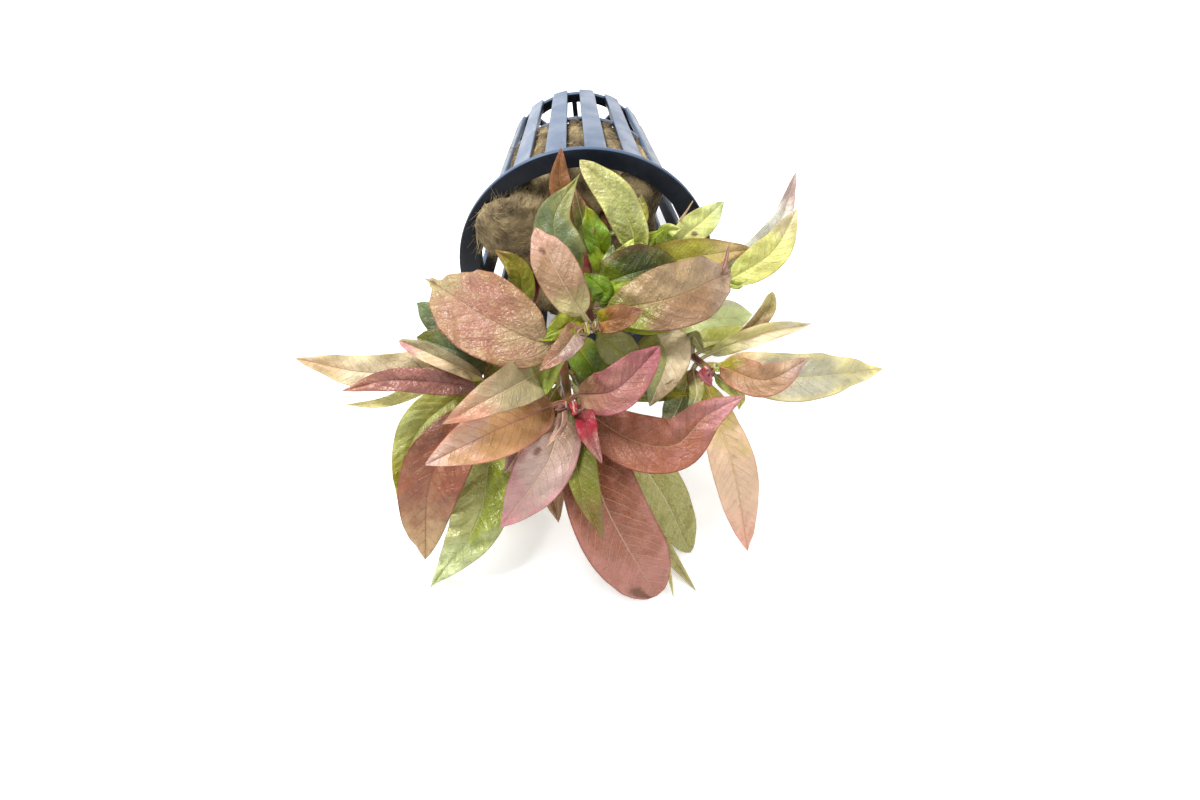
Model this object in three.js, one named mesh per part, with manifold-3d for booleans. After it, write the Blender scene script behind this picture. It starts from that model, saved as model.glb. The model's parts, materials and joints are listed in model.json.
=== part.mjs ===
import * as THREE from 'three';
import { mergeVertices } from 'three/addons/utils/BufferGeometryUtils.js';
import Module from 'manifold-3d';

// A water plant in a net pot that lies on its side, in millimetres, +Z up.
// The pot's mouth faces -Y and its lip and base both touch the floor.
// The middle of the mouth stands over X = 0, Y = 0 while the pieces are made.

// Net pot
const POT_HEIGHT = 50;
const LIP_RADIUS = 28.5;
const LIP_THICKNESS = 1.2;
const MOUTH_RADIUS = 25;
const BASE_RADIUS = 16.5;
const WALL = 1.2;
const COLLAR_HEIGHT = 4;
const BASE_THICKNESS = 1.4;
const BASE_RING_WIDTH = 3;
const BASE_CHAMFER = 0.8;
const RIB_COUNT = 16;
const RIB_ANGLE = 12.4;
const FIRST_RIB = 7.2;
const RIB_PROUD = 0.7;
const HOOP_HEIGHT = 18.5;
const HOOP_SIZE = 1.2;
const HOOP_WIDTH = 1;
const HOOP_INSET = 0.4;
const HUB_RADIUS = 4.5;
const HUB_STEPS = 24;
const SPOKE_COUNT = 8;
const SPOKE_WIDTH = 1.2;
const SPOKE_OVERLAP = 1;
const WINDOW_REACH_IN = 0.6;
const ROUND_STEPS = 48;

// Rock wool plug, measured along the pot from its base
const WOOL_START = 20.5;
const WOOL_END = 45;
const WOOL_GAP = 0.4;
const WOOL_STEPS = 20;
const WOOL_RIPPLE = 0.3;
// Dents that let daylight in between plug and wall: turn and reach to each side in degrees,
// depth as a share of the radius
const WOOL_DENTS = [
  { turn: 90, reach: 48, depth: 0.24 },
  { turn: 255, reach: 42, depth: 0.18 },
];
const WOOL_RINGS = [
  { part: 0.95, height: WOOL_START },
  { part: 0.99, height: WOOL_START + 0.6 },
  { part: 1, height: WOOL_START + 4 },
  { part: 0.97, height: (WOOL_START + WOOL_END) / 2 },
  { part: 1, height: WOOL_END - 5 },
  { part: 0.97, height: WOOL_END - 1.2 },
  { part: 0.85, height: WOOL_END - 0.3 },
  { part: 0.45, height: WOOL_END },
];
const LUMP_SIDES = 12;
const LUMP_RINGS = 8;
const WOOL_LUMPS = [
  { at: [-15.5, 9.5, 49.5], size: [10, 8.5, 4.5] },
  { at: [10.5, 13, 47], size: [5.5, 7.5, 4] },
  { at: [-3, 14, 46], size: [9, 6, 3] },
];

// Stems: the points that each passes, its thickness where it leaves the wool and at its tip
const STEMS = {
  a: { through: [[0, 8, 29], [0, -14, 36], [0, -34, 43]], thick: 3.0, thin: 1.6 },
  b: { through: [[-3, 8, 22], [-6, -24, 26], [-5, -49, 35]], thick: 3.2, thin: 1.8 },
  c: { through: [[7, 8, 23], [15, -18, 26], [25, -39, 34]], thick: 3.0, thin: 1.6 },
  d: { through: [[-9, 8, 21], [-16, -18, 23], [-22, -38, 28]], thick: 3.0, thin: 1.6 },
  e: { through: [[5, 9, 35], [4, -3, 38], [4, -15, 38]], thick: 2.4, thin: 1.4 },
  f: { through: [[12, 8, 26], [20, -4, 29], [30, -13, 31]], thick: 2.6, thin: 1.4 },
};
const STEM_SIDES = 8;
const STEM_STEPS = 6;

// Leaves
const LEAF_THICKNESS = 0.7;
const PETIOLE_WIDTH = 1.4;
const PETIOLE_THICKNESS = 1.0;
const PETIOLE_PART = 0.06;
const BASE_TAPER = 0.6;
const TIP_TAPER = 0.85;
const FOLD = THREE.MathUtils.degToRad(12);
const EDGE_CURVE = 0.6;
const STEM_GAP = 0.35;
const LARGE_WIDTH = 8;
const LIGHT_SIDE = new THREE.Vector3(0, -0.6, 0.8);

// Shares of a leaf's length that have a section, and shares of its half width across the section
const LARGE_STATIONS = [0, 0.07, 0.17, 0.3, 0.45, 0.6, 0.75, 0.89];
const SMALL_STATIONS = [0, 0.12, 0.32, 0.55, 0.8];
const LARGE_COLUMNS = [-1, -0.5, 0, 0.5, 1, 0.5, 0, -0.5];
const SMALL_COLUMNS = [-1, 0, 1, 0];

// Colours
const POT_BLACK = 0x20242c;
const WOOL_TAN = 0x9c8466;
const STEM_MAROON = 0x5a3030;
const SALMON = 0xd58b73;
const PINK = 0xcf8080;
const MAUVE = 0x99605c;
const BROWN = 0x93543c;
const CRIMSON = 0xb8404a;
const SAGE = 0x97a273;
const BRIGHT_GREEN = 0x8fb02c;
const DARK_GREEN = 0x4a5a24;
const OLIVE = 0x857f30;
const YELLOW = 0xd2cf6a;
const TAN = 0xd9a874;

const wasm = await Module();
wasm.setup();

function toSolid(geometry) {
  const bare = geometry.clone();
  bare.deleteAttribute('normal');
  bare.deleteAttribute('uv');
  const merged = mergeVertices(bare, 1e-4);
  const vertProperties = new Float32Array(merged.attributes.position.array);
  const triVerts = new Uint32Array(merged.index.array);
  return new wasm.Manifold(new wasm.Mesh({ numProp: 3, vertProperties, triVerts }));
}

function toGeometry(solid) {
  const mesh = solid.getMesh();
  const geometry = new THREE.BufferGeometry();
  geometry.setAttribute('position', new THREE.BufferAttribute(new Float32Array(mesh.vertProperties), 3));
  geometry.setIndex(new THREE.BufferAttribute(new Uint32Array(mesh.triVerts), 1));
  return geometry;
}

function piece(name, geometry, color, roughness) {
  const mesh = new THREE.Mesh(geometry, new THREE.MeshStandardMaterial({ color, roughness, metalness: 0 }));
  mesh.name = name;
  return mesh;
}

// A ring turned round the pot's own Z from a closed outline of [radius, height] points
function ring(outline) {
  const points = [...outline, outline[0]].map(([radius, height]) => new THREE.Vector2(radius, height));
  const geometry = new THREE.LatheGeometry(points, ROUND_STEPS);
  geometry.rotateX(Math.PI / 2);
  return geometry;
}

function wallRadius(height) {
  const straight = POT_HEIGHT - LIP_THICKNESS - BASE_CHAMFER;
  return BASE_RADIUS + ((MOUTH_RADIUS - BASE_RADIUS) * (height - BASE_CHAMFER)) / straight;
}

function potShell() {
  const underLip = POT_HEIGHT - LIP_THICKNESS;
  return ring([
    [BASE_RADIUS - BASE_RING_WIDTH, 0],
    [BASE_RADIUS - BASE_CHAMFER, 0],
    [BASE_RADIUS, BASE_CHAMFER],
    [MOUTH_RADIUS, underLip],
    [LIP_RADIUS, underLip],
    [LIP_RADIUS, POT_HEIGHT],
    [MOUTH_RADIUS - WALL, POT_HEIGHT],
    [wallRadius(BASE_THICKNESS) - WALL, BASE_THICKNESS],
    [BASE_RADIUS - BASE_RING_WIDTH, BASE_THICKNESS],
  ]);
}

// Room between two ribs: a wedge that widens outwards from a radius, between two heights
function betweenRibs(middle, near, bottom, top) {
  const half = THREE.MathUtils.degToRad(360 / RIB_COUNT - RIB_ANGLE) / 2;
  const far = LIP_RADIUS;
  const wedge = new THREE.Shape();
  wedge.moveTo(near * Math.cos(half), -near * Math.sin(half));
  wedge.lineTo(far * Math.cos(half), -far * Math.sin(half));
  wedge.lineTo(far * Math.cos(half), far * Math.sin(half));
  wedge.lineTo(near * Math.cos(half), near * Math.sin(half));
  const geometry = new THREE.ExtrudeGeometry(wedge, { depth: top - bottom, bevelEnabled: false });
  geometry.rotateZ(Math.PI / 2 - middle);
  geometry.translate(0, 0, bottom);
  return geometry;
}

function potWindow(middle) {
  const near = BASE_RADIUS - BASE_RING_WIDTH + WINDOW_REACH_IN;
  return betweenRibs(middle, near, BASE_THICKNESS, POT_HEIGHT - COLLAR_HEIGHT);
}

// The base ring lies a little behind the ribs' outer faces
function ringRecess(middle) {
  return betweenRibs(middle, BASE_RADIUS - RIB_PROUD, -1, BASE_THICKNESS);
}

function potHoop() {
  const outer = wallRadius(HOOP_HEIGHT) - HOOP_INSET;
  const inner = outer - HOOP_WIDTH;
  return ring([
    [inner, HOOP_HEIGHT],
    [outer, HOOP_HEIGHT],
    [outer, HOOP_HEIGHT + HOOP_SIZE],
    [inner, HOOP_HEIGHT + HOOP_SIZE],
  ]);
}

function potHub() {
  const geometry = new THREE.CylinderGeometry(HUB_RADIUS, HUB_RADIUS, BASE_THICKNESS, HUB_STEPS);
  geometry.rotateX(Math.PI / 2);
  geometry.translate(0, 0, BASE_THICKNESS / 2);
  return geometry;
}

function potSpoke(turn) {
  const reach = BASE_RADIUS - BASE_RING_WIDTH + SPOKE_OVERLAP;
  const geometry = new THREE.BoxGeometry(reach, SPOKE_WIDTH, BASE_THICKNESS);
  geometry.translate(reach / 2, 0, BASE_THICKNESS / 2);
  geometry.rotateZ(Math.PI / 2 - turn);
  return geometry;
}

function netPot() {
  let solid = toSolid(potShell());
  const step = (2 * Math.PI) / RIB_COUNT;
  const firstGap = THREE.MathUtils.degToRad(FIRST_RIB) - step / 2;
  for (let i = 0; i < RIB_COUNT; i += 1) {
    solid = solid.subtract(toSolid(potWindow(firstGap + i * step)));
    solid = solid.subtract(toSolid(ringRecess(firstGap + i * step)));
  }
  solid = solid.add(toSolid(potHoop())).add(toSolid(potHub()));
  for (let i = 0; i < SPOKE_COUNT; i += 1) {
    solid = solid.add(toSolid(potSpoke(firstGap + (i * 2 * Math.PI) / SPOKE_COUNT)));
  }
  return piece('net_pot', toGeometry(solid), POT_BLACK, 0.4);
}

// How far the plug stands off the wall at a turn, as a share of its radius
function woolDent(turn) {
  const degrees = THREE.MathUtils.euclideanModulo(THREE.MathUtils.radToDeg(turn), 360);
  let dent = 0;
  for (const { turn: middle, reach, depth } of WOOL_DENTS) {
    const near = Math.max(0, 1 - Math.abs(degrees - middle) / reach);
    dent = Math.max(dent, depth * THREE.MathUtils.smoothstep(near, 0, 0.6));
  }
  return dent;
}

// A point of the plug's skin, a little uneven and nowhere nearer to the wall than the gap
function woolPoint(level, turn) {
  const { part, height } = level;
  const ripple = WOOL_RIPPLE * (Math.sin(5 * turn + height) - 1);
  const full = wallRadius(height) - WALL - WOOL_GAP + ripple;
  const radius = part * full * (1 - woolDent(turn));
  const uneven = WOOL_RIPPLE * Math.sin(3 * turn + part);
  return [radius * Math.sin(turn), radius * Math.cos(turn), height + uneven];
}

function woolLump(lump) {
  const geometry = new THREE.SphereGeometry(1, LUMP_SIDES, LUMP_RINGS);
  geometry.scale(...lump.size);
  geometry.translate(...lump.at);
  return geometry;
}

// The room that the wall and the lip take, with the gap round them
function lipRoom() {
  const inner = MOUTH_RADIUS - WALL - WOOL_GAP;
  const beyond = LIP_RADIUS + WOOL_GAP;
  const below = WOOL_START - WOOL_GAP;
  return ring([
    [wallRadius(below) - WALL - WOOL_GAP, below],
    [beyond, below],
    [beyond, POT_HEIGHT + WOOL_GAP],
    [inner, POT_HEIGHT + WOOL_GAP],
  ]);
}

// The stems' sockets in the plug, in the pot's own frame
function stemSocket(stem, intoPot) {
  const wide = { ...stem, thick: stem.thick + 2 * STEM_GAP, thin: stem.thin + 2 * STEM_GAP };
  const geometry = stemSkin(wide);
  geometry.applyMatrix4(intoPot);
  return geometry;
}

// Closed skin through rings of equal point counts, pointed or capped at its ends.
// The second half of each ring is split the other way, so that a leaf's two faces bend alike.
function skin(rings, cappedStart, endPoint) {
  const count = rings[0].length;
  const position = rings.flat(2);
  const index = [];
  for (let i = 0; i + 1 < rings.length; i += 1) {
    for (let j = 0; j < count; j += 1) {
      const a = i * count + j;
      const b = i * count + ((j + 1) % count);
      if (j < count / 2) {
        index.push(a, b, b + count, a, b + count, a + count);
      } else {
        index.push(a, b, a + count, b, b + count, a + count);
      }
    }
  }
  if (cappedStart) {
    for (let j = 1; j + 1 < count; j += 1) {
      index.push(0, j + 1, j);
    }
  }
  const last = (rings.length - 1) * count;
  if (endPoint) {
    position.push(...endPoint);
    const tip = rings.length * count;
    for (let j = 0; j < count; j += 1) {
      index.push(last + j, last + ((j + 1) % count), tip);
    }
  } else {
    for (let j = 1; j + 1 < count; j += 1) {
      index.push(last, last + j, last + j + 1);
    }
  }
  const geometry = new THREE.BufferGeometry();
  geometry.setAttribute('position', new THREE.Float32BufferAttribute(position, 3));
  geometry.setIndex(index);
  return geometry;
}

function rockWool(intoPot) {
  const rings = WOOL_RINGS.map((level) => {
    const points = [];
    for (let i = 0; i < WOOL_STEPS; i += 1) {
      points.push(woolPoint(level, (-i * 2 * Math.PI) / WOOL_STEPS));
    }
    return points;
  });
  let solid = toSolid(skin(rings, true, [0, 0, WOOL_END]));
  for (const lump of WOOL_LUMPS) {
    solid = solid.add(toSolid(woolLump(lump)));
  }
  solid = solid.subtract(toSolid(lipRoom()));
  for (const stem of Object.values(STEMS)) {
    solid = solid.subtract(toSolid(stemSocket(stem, intoPot)));
  }
  return piece('rock_wool', toGeometry(solid), WOOL_TAN, 1);
}

function vectors(points) {
  return points.map(([x, y, z]) => new THREE.Vector3(x, y, z));
}

function stemCurve(stem) {
  return new THREE.CatmullRomCurve3(vectors(stem.through));
}

function stemRadius(stem, along) {
  return THREE.MathUtils.lerp(stem.thick, stem.thin, along) / 2;
}

// Two directions square to a line and to each other
function across(direction, facing) {
  const up = facing.clone().addScaledVector(direction, -facing.dot(direction)).normalize();
  const side = new THREE.Vector3().crossVectors(direction, up);
  return { up, side };
}

function stemSkin(stem) {
  const curve = stemCurve(stem);
  const rings = [];
  for (let i = 0; i < STEM_STEPS; i += 1) {
    const along = i / (STEM_STEPS - 1);
    const centre = curve.getPoint(along);
    const { up, side } = across(curve.getTangent(along), LIGHT_SIDE);
    const radius = stemRadius(stem, along);
    const points = [];
    for (let j = 0; j < STEM_SIDES; j += 1) {
      const turn = (-j * 2 * Math.PI) / STEM_SIDES;
      const point = centre.clone();
      point.addScaledVector(up, radius * Math.sin(turn)).addScaledVector(side, radius * Math.cos(turn));
      points.push(point.toArray());
    }
    rings.push(points);
  }
  const tip = curve.getPoint(1).addScaledVector(curve.getTangent(1), stem.thin);
  return skin(rings, true, tip.toArray());
}

// Half width of a leaf blade, as a share of its widest, from its base to its tip
function bladeShape(along, base, tip) {
  if (along <= 0 || along >= 1) {
    return 0;
  }
  const widest = base / (base + tip);
  return (along / widest) ** base * ((1 - along) / (1 - widest)) ** tip;
}

// Where the leaf starts: on the stem's skin, on the side that it grows to
function leafFoot(leaf) {
  const stem = STEMS[leaf.stem];
  const curve = stemCurve(stem);
  const middle = curve.getPoint(leaf.at);
  const along = curve.getTangent(leaf.at);
  const out = vectors(leaf.through)[0].sub(middle);
  out.addScaledVector(along, -out.dot(along)).normalize();
  return middle.addScaledVector(out, stemRadius(stem, leaf.at) + STEM_GAP + PETIOLE_THICKNESS / 2);
}

function leafPiece(leaf) {
  const large = leaf.width > LARGE_WIDTH;
  const curve = new THREE.CatmullRomCurve3([leafFoot(leaf), ...vectors(leaf.through)]);
  const stations = large ? LARGE_STATIONS : SMALL_STATIONS;
  const columns = large ? LARGE_COLUMNS : SMALL_COLUMNS;
  const half = columns.length / 2;
  const rings = stations.map((station) => {
    const centre = curve.getPointAt(station);
    const direction = curve.getTangentAt(station);
    const { up, side } = across(direction, LIGHT_SIDE);
    const stalk = leaf.stalk ?? PETIOLE_PART;
    const blade = (station - stalk) / (1 - stalk);
    const shape = bladeShape(blade, leaf.base ?? BASE_TAPER, leaf.tip ?? TIP_TAPER);
    const halfWidth = Math.max(PETIOLE_WIDTH / 2, (leaf.width / 2) * shape);
    const petiole = THREE.MathUtils.clamp(2 - station / stalk, 0, 1);
    const thickness = THREE.MathUtils.lerp(LEAF_THICKNESS, PETIOLE_THICKNESS, petiole);
    return columns.map((column, number) => {
      const over = number < half ? 1 : -1;
      const lift = Math.abs(column) * halfWidth * Math.sin(FOLD);
      const skinOffset = over * (thickness / 2) * (1 - Math.abs(column)) ** EDGE_CURVE;
      const point = centre.clone().addScaledVector(side, column * halfWidth * Math.cos(FOLD));
      return point.addScaledVector(up, lift + skinOffset).toArray();
    });
  });
  const tip = curve.getPoint(1).toArray();
  return piece(leaf.name, skin(rings, true, tip), leaf.colour, 0.5);
}

const LEAVES = [
  // Crown of stem a, the highest
  { name: 'leaf_salmon_upright', stem: 'a', at: 0.97, through: [[-6, -27, 51], [-11, -14, 53]],
    width: 9.5, colour: SALMON },
  { name: 'leaf_small_right', stem: 'a', at: 1, through: [[5, -36, 48], [11, -33, 47]],
    width: 6, colour: SALMON },
  { name: 'leaf_small_left', stem: 'a', at: 1, through: [[-6, -43, 47], [-11, -46, 44]],
    width: 5.6, colour: PINK },
  { name: 'leaf_bronze', stem: 'a', at: 0.85, through: [[17, -28, 45], [31, -16, 40]],
    width: 14.5, colour: MAUVE },
  { name: 'leaf_salmon_big', stem: 'a', at: 0.85,
    through: [[-9.5, -39, 44.5], [-20, -35, 47], [-30, -24, 44.5], [-36, -15, 40]],
    width: 17.5, stalk: 0.25, base: 0.7, tip: 1.2, colour: SALMON },
  { name: 'leaf_sage_upright', stem: 'a', at: 0.55, through: [[-5, -17, 45], [-7, -10, 51], [-1, 1, 54]],
    width: 10.5, tip: 1.3, colour: SAGE },
  { name: 'leaf_lime_under', stem: 'a', at: 0.7, through: [[13, -29, 42], [22, -25, 38]],
    width: 11, colour: BRIGHT_GREEN },
  { name: 'leaf_lime_left', stem: 'a', at: 0.75, through: [[-8, -38, 40], [-10, -47, 37]],
    width: 7, colour: BRIGHT_GREEN },
  { name: 'leaf_dark_round', stem: 'a', at: 0.6, through: [[9, -18, 42], [20, -13, 40]],
    width: 12, colour: DARK_GREEN },
  { name: 'leaf_inner_olive', stem: 'a', at: 0.97, through: [[8, -33, 32], [13, -34, 28]],
    width: 8, colour: OLIVE },
  // Short shoots in the mouth
  { name: 'leaf_brown_spear', stem: 'e', at: 0.5, through: [[-5, 0, 50], [-5, 6, 57]],
    width: 6.5, colour: BROWN },
  { name: 'leaf_yellow_top', stem: 'e', at: 0.95, through: [[10, -11, 43], [7.5, -5, 50], [-1, 3, 56]],
    width: 8, stalk: 0.16, tip: 0.7, colour: YELLOW },
  { name: 'leaf_round_green', stem: 'e', at: 0.5, through: [[11.5, -1, 42], [12.5, 3, 45]],
    width: 5, colour: OLIVE },
  { name: 'leaf_bright_a', stem: 'e', at: 0.85, through: [[2, -10, 46], [0, -5, 50]],
    width: 5.5, colour: BRIGHT_GREEN },
  { name: 'leaf_mouth_olive', stem: 'd', at: 0.4, through: [[-15, -9, 34], [-20, -5, 37]],
    width: 6, colour: OLIVE },
  // Crown of stem f, at the right of the mouth
  { name: 'leaf_yellow_green', stem: 'f', at: 0.6, through: [[21, -5, 38], [26, -1, 40], [31, 3, 42]],
    width: 6.5, stalk: 0.3, colour: YELLOW },
  { name: 'leaf_olive_long', stem: 'e', at: 0.95, through: [[23, -9, 37], [37, -5, 35]],
    width: 9, colour: OLIVE },
  { name: 'leaf_pale_sickle', stem: 'f', at: 0.9, through: [[43, 2, 34], [48, 12, 42]],
    width: 5, colour: TAN },
  { name: 'leaf_yellow_right', stem: 'f', at: 1, through: [[41, -8, 37], [47, 1, 41]],
    width: 8, colour: YELLOW },
  { name: 'leaf_lime_mouth', stem: 'f', at: 0.5, through: [[18, -4, 40], [21, -4, 41]],
    width: 6, colour: BRIGHT_GREEN },
  // Crown of stem c, at the right
  { name: 'leaf_sage_right', stem: 'c', at: 0.6, through: [[25, -24, 33], [36, -20, 30]],
    width: 10, colour: SAGE },
  { name: 'leaf_green_flat', stem: 'c', at: 0.75, through: [[28, -29, 32], [37, -27, 32]],
    width: 6, colour: BRIGHT_GREEN },
  { name: 'leaf_folded_tan', stem: 'c', at: 0.9, through: [[36, -32, 37], [48, -27, 34.5]],
    width: 5, colour: TAN },
  { name: 'leaf_curled_olive', stem: 'c', at: 0.85, through: [[33, -30, 35], [38, -26, 38], [39, -25, 43]],
    width: 4, base: 1.6, tip: 0.7, colour: OLIVE },
  { name: 'leaf_pink_right', stem: 'c', at: 1, through: [[36, -47, 40], [45, -43, 42]],
    width: 7.5, colour: PINK },
  { name: 'leaf_olive_far_right', stem: 'c', at: 0.95, through: [[41, -42, 33], [63, -35, 28]],
    width: 10.5, colour: OLIVE },
  { name: 'leaf_pale_hanging', stem: 'c', at: 0.95, through: [[29, -54, 22], [33, -62, 0]],
    width: 9.5, base: 0.8, colour: TAN },
  { name: 'leaf_sage_middle', stem: 'c', at: 0.6, through: [[16, -37, 35], [12, -45, 30]],
    width: 11, colour: SAGE },
  { name: 'leaf_dark_wet', stem: 'c', at: 0.9, through: [[17, -45, 26], [13, -48, 25]],
    width: 7, colour: DARK_GREEN },
  { name: 'leaf_dark_olive', stem: 'b', at: 0.7, through: [[13, -41, 30], [21, -42, 30]],
    width: 6, colour: DARK_GREEN },
  // Crown of stem b, the nearest
  { name: 'leaf_pink_upper', stem: 'b', at: 0.94, through: [[4.5, -51.5, 44], [14, -42, 46]],
    width: 10, colour: PINK },
  { name: 'leaf_curl_mauve', stem: 'b', at: 0.97,
    through: [[8.5, -57.5, 34], [16.5, -58.5, 34], [23, -54, 37.5], [31, -51, 40]],
    width: 11.5, base: 0.7, tip: 1, colour: MAUVE },
  { name: 'leaf_crimson_small', stem: 'b', at: 1, through: [[-1, -62, 41], [1, -68, 41]],
    width: 4.5, colour: CRIMSON },
  { name: 'leaf_pink_lower', stem: 'b', at: 0.97, through: [[-10, -60, 31], [-20, -68, 20]],
    width: 11.5, colour: PINK },
  { name: 'leaf_orange_left', stem: 'b', at: 0.95, through: [[-19, -55, 37], [-35, -61, 33]],
    width: 12, colour: SALMON },
  { name: 'leaf_salmon_left', stem: 'b', at: 0.7, through: [[-19, -52, 44.5], [-31, -56, 40]],
    width: 10, colour: SALMON },
  { name: 'leaf_red_big', stem: 'b', at: 0.85, through: [[2, -65, 22], [12.5, -73, 0]],
    width: 17, base: 0.6, tip: 0.5, colour: BROWN },
  { name: 'leaf_green_bottom', stem: 'b', at: 0.97, through: [[-3, -65, 28], [1, -73, 22]],
    width: 7, colour: SAGE },
  { name: 'leaf_brown_beneath', stem: 'b', at: 0.72, through: [[-9, -54, 17], [-8, -60, 10]],
    width: 9, colour: BROWN },
  { name: 'leaf_maroon_under', stem: 'b', at: 0.77, through: [[-15, -53, 28], [-19, -57, 24]],
    width: 9, colour: MAUVE },
  { name: 'leaf_inner_green', stem: 'b', at: 0.5, through: [[1, -36, 31.5], [6, -43, 32]],
    width: 8, colour: DARK_GREEN },
  { name: 'leaf_sage_bottom', stem: 'b', at: 0.75, through: [[13, -55, 16], [20.5, -62, 0]],
    width: 10.5, tip: 0.6, colour: SAGE },
  { name: 'leaf_floor_right', stem: 'b', at: 0.6, through: [[13, -60, 4.4], [21, -72, 0]],
    width: 6, colour: SAGE },
  // Crown of stem d, at the left
  { name: 'leaf_far_left', stem: 'd', at: 0.7, through: [[-46, -31, 27], [-65, -22, 22]],
    width: 8.5, colour: TAN },
  { name: 'leaf_crimson_left', stem: 'd', at: 1, through: [[-42, -39, 34], [-53, -39, 31]],
    width: 5.5, colour: CRIMSON },
  { name: 'leaf_pale_folded', stem: 'd', at: 0.95, through: [[-31, -34.5, 34.5], [-41, -28, 34]],
    width: 5, tip: 0.5, colour: YELLOW },
  { name: 'leaf_dark_left_back', stem: 'd', at: 0.6, through: [[-32, -17.5, 28], [-38, -11, 27]],
    width: 9, colour: DARK_GREEN },
  { name: 'leaf_dark_left', stem: 'd', at: 0.8, through: [[-28, -30, 32], [-37.5, -24.5, 31]],
    width: 11, colour: DARK_GREEN },
  { name: 'leaf_sliver_left', stem: 'd', at: 0.55, through: [[-44, -34, 21], [-54, -34, 20]],
    width: 3.6, colour: BRIGHT_GREEN },
  { name: 'leaf_green_curve', stem: 'd', at: 0.85, through: [[-37.5, -42.5, 21], [-42.5, -53, 9]],
    width: 9, colour: BRIGHT_GREEN },
  { name: 'leaf_brown_big', stem: 'd', at: 0.95, through: [[-29, -47, 24.5], [-35, -54, 18], [-37, -63, 2]],
    width: 13.5, stalk: 0.12, base: 0.8, colour: BROWN },
  { name: 'leaf_green_glossy', stem: 'd', at: 1, through: [[-25, -59, 11.2], [-36, -69, 0]],
    width: 13, base: 0.8, tip: 1, colour: BRIGHT_GREEN },
];

const pot = new THREE.Group();
const tilt = Math.atan((LIP_RADIUS - BASE_RADIUS) / (POT_HEIGHT - LIP_THICKNESS - BASE_CHAMFER));
const lift = BASE_RADIUS * Math.cos(tilt) - BASE_CHAMFER * Math.sin(tilt);
pot.rotation.x = Math.PI / 2 - tilt;
pot.position.set(0, POT_HEIGHT * Math.cos(tilt), lift);
pot.updateMatrixWorld(true);
pot.add(netPot(), rockWool(pot.matrixWorld.clone().invert()));

const plant = new THREE.Group();
plant.add(pot);
for (const [name, stem] of Object.entries(STEMS)) {
  plant.add(piece(`stem_${name}`, stemSkin(stem), STEM_MAROON, 0.6));
}
for (const leaf of LEAVES) {
  plant.add(leafPiece(leaf));
}

// The origin goes to the middle of the box's bottom face
plant.updateMatrixWorld(true);
const box = new THREE.Box3().setFromObject(plant, true);
const middle = box.getCenter(new THREE.Vector3());
plant.position.set(-middle.x, -middle.y, -box.min.z);

const part = new THREE.Group();
part.add(plant);

export default part;
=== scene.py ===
import json
import math
from dataclasses import dataclass

import bpy
import numpy as np
from mathutils import Matrix, Vector


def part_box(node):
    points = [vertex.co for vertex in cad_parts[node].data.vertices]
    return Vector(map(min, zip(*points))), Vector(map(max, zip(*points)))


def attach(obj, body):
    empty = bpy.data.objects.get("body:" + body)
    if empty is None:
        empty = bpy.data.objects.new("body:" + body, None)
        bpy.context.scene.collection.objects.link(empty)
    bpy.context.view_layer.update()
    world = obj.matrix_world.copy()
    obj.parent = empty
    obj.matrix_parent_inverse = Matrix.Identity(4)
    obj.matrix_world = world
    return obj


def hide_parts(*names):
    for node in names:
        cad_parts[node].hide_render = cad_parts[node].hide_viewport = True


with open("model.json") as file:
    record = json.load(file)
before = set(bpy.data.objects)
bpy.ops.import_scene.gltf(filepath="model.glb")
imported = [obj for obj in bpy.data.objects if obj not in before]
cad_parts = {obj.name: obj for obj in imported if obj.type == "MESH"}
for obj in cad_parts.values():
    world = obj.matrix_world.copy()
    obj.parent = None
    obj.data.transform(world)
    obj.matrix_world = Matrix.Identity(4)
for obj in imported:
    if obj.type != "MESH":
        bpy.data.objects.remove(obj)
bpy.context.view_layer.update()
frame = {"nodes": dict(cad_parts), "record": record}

bl_info = {
    "name": "Potted water plant",
    "version": (1, 0, 0),
    "blender": (4, 5, 0),
    "location": "View3D > Sidebar > Plant",
    "description": "A red and green water plant in a net pot that lies on its side",
    "category": "Add Mesh",
}

MM = 0.001

# The pot's own frame: its base at the origin, its mouth up, then laid on lip and base
POT_LOW, POT_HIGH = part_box("net_pot")
LIP_RADIUS = (POT_HIGH.x - POT_LOW.x) / 2
POT_HEIGHT = 50 * MM
BASE_RADIUS = 16.5 * MM
MOUTH_RADIUS = 25 * MM
LIP_THICKNESS = 1.2 * MM
BASE_CHAMFER = 0.8 * MM
FIRST_RIB = math.radians(7.2)
WALL_COLUMNS = 9          # faces round the wall for each rib and its window
RIB_SHARE = 0.54          # width of a rib, as a share of the way to the next one
RING_STEPS = 144          # faces round the lip, the foot and the hoop
HUB_STEPS = 48
TILT = math.atan((LIP_RADIUS - BASE_RADIUS) / (POT_HEIGHT - LIP_THICKNESS - BASE_CHAMFER))

# The point on the floor under the middle of the mouth, which the plant is measured from
MOUTH = Vector(((POT_LOW.x + POT_HIGH.x) / 2, POT_LOW.y + LIP_RADIUS * math.sin(TILT), 0))
BASE = MOUTH + Vector((
    0, POT_HEIGHT * math.cos(TILT), BASE_RADIUS * math.cos(TILT) - BASE_CHAMFER * math.sin(TILT)))
POT_PLACE = Matrix.Translation(BASE) @ Matrix.Rotation(math.pi / 2 - TILT, 4, "X")


def srgb(code):
    """Linear red, green and blue of a six-letter colour code."""
    parts = [int(code[i:i + 2], 16) / 255 for i in (0, 2, 4)]
    return [p / 12.92 if p <= 0.04045 else ((p + 0.055) / 1.055) ** 2.4 for p in parts]


def length(name, text, default):
    """A size in metres for the sidebar."""
    return bpy.props.FloatProperty(
        name=name, description=text, default=default, min=0, precision=5,
        subtype="DISTANCE", unit="LENGTH")


def number(name, text, default):
    """A whole number for the sidebar."""
    return bpy.props.IntProperty(name=name, description=text, default=default, min=1)


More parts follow.
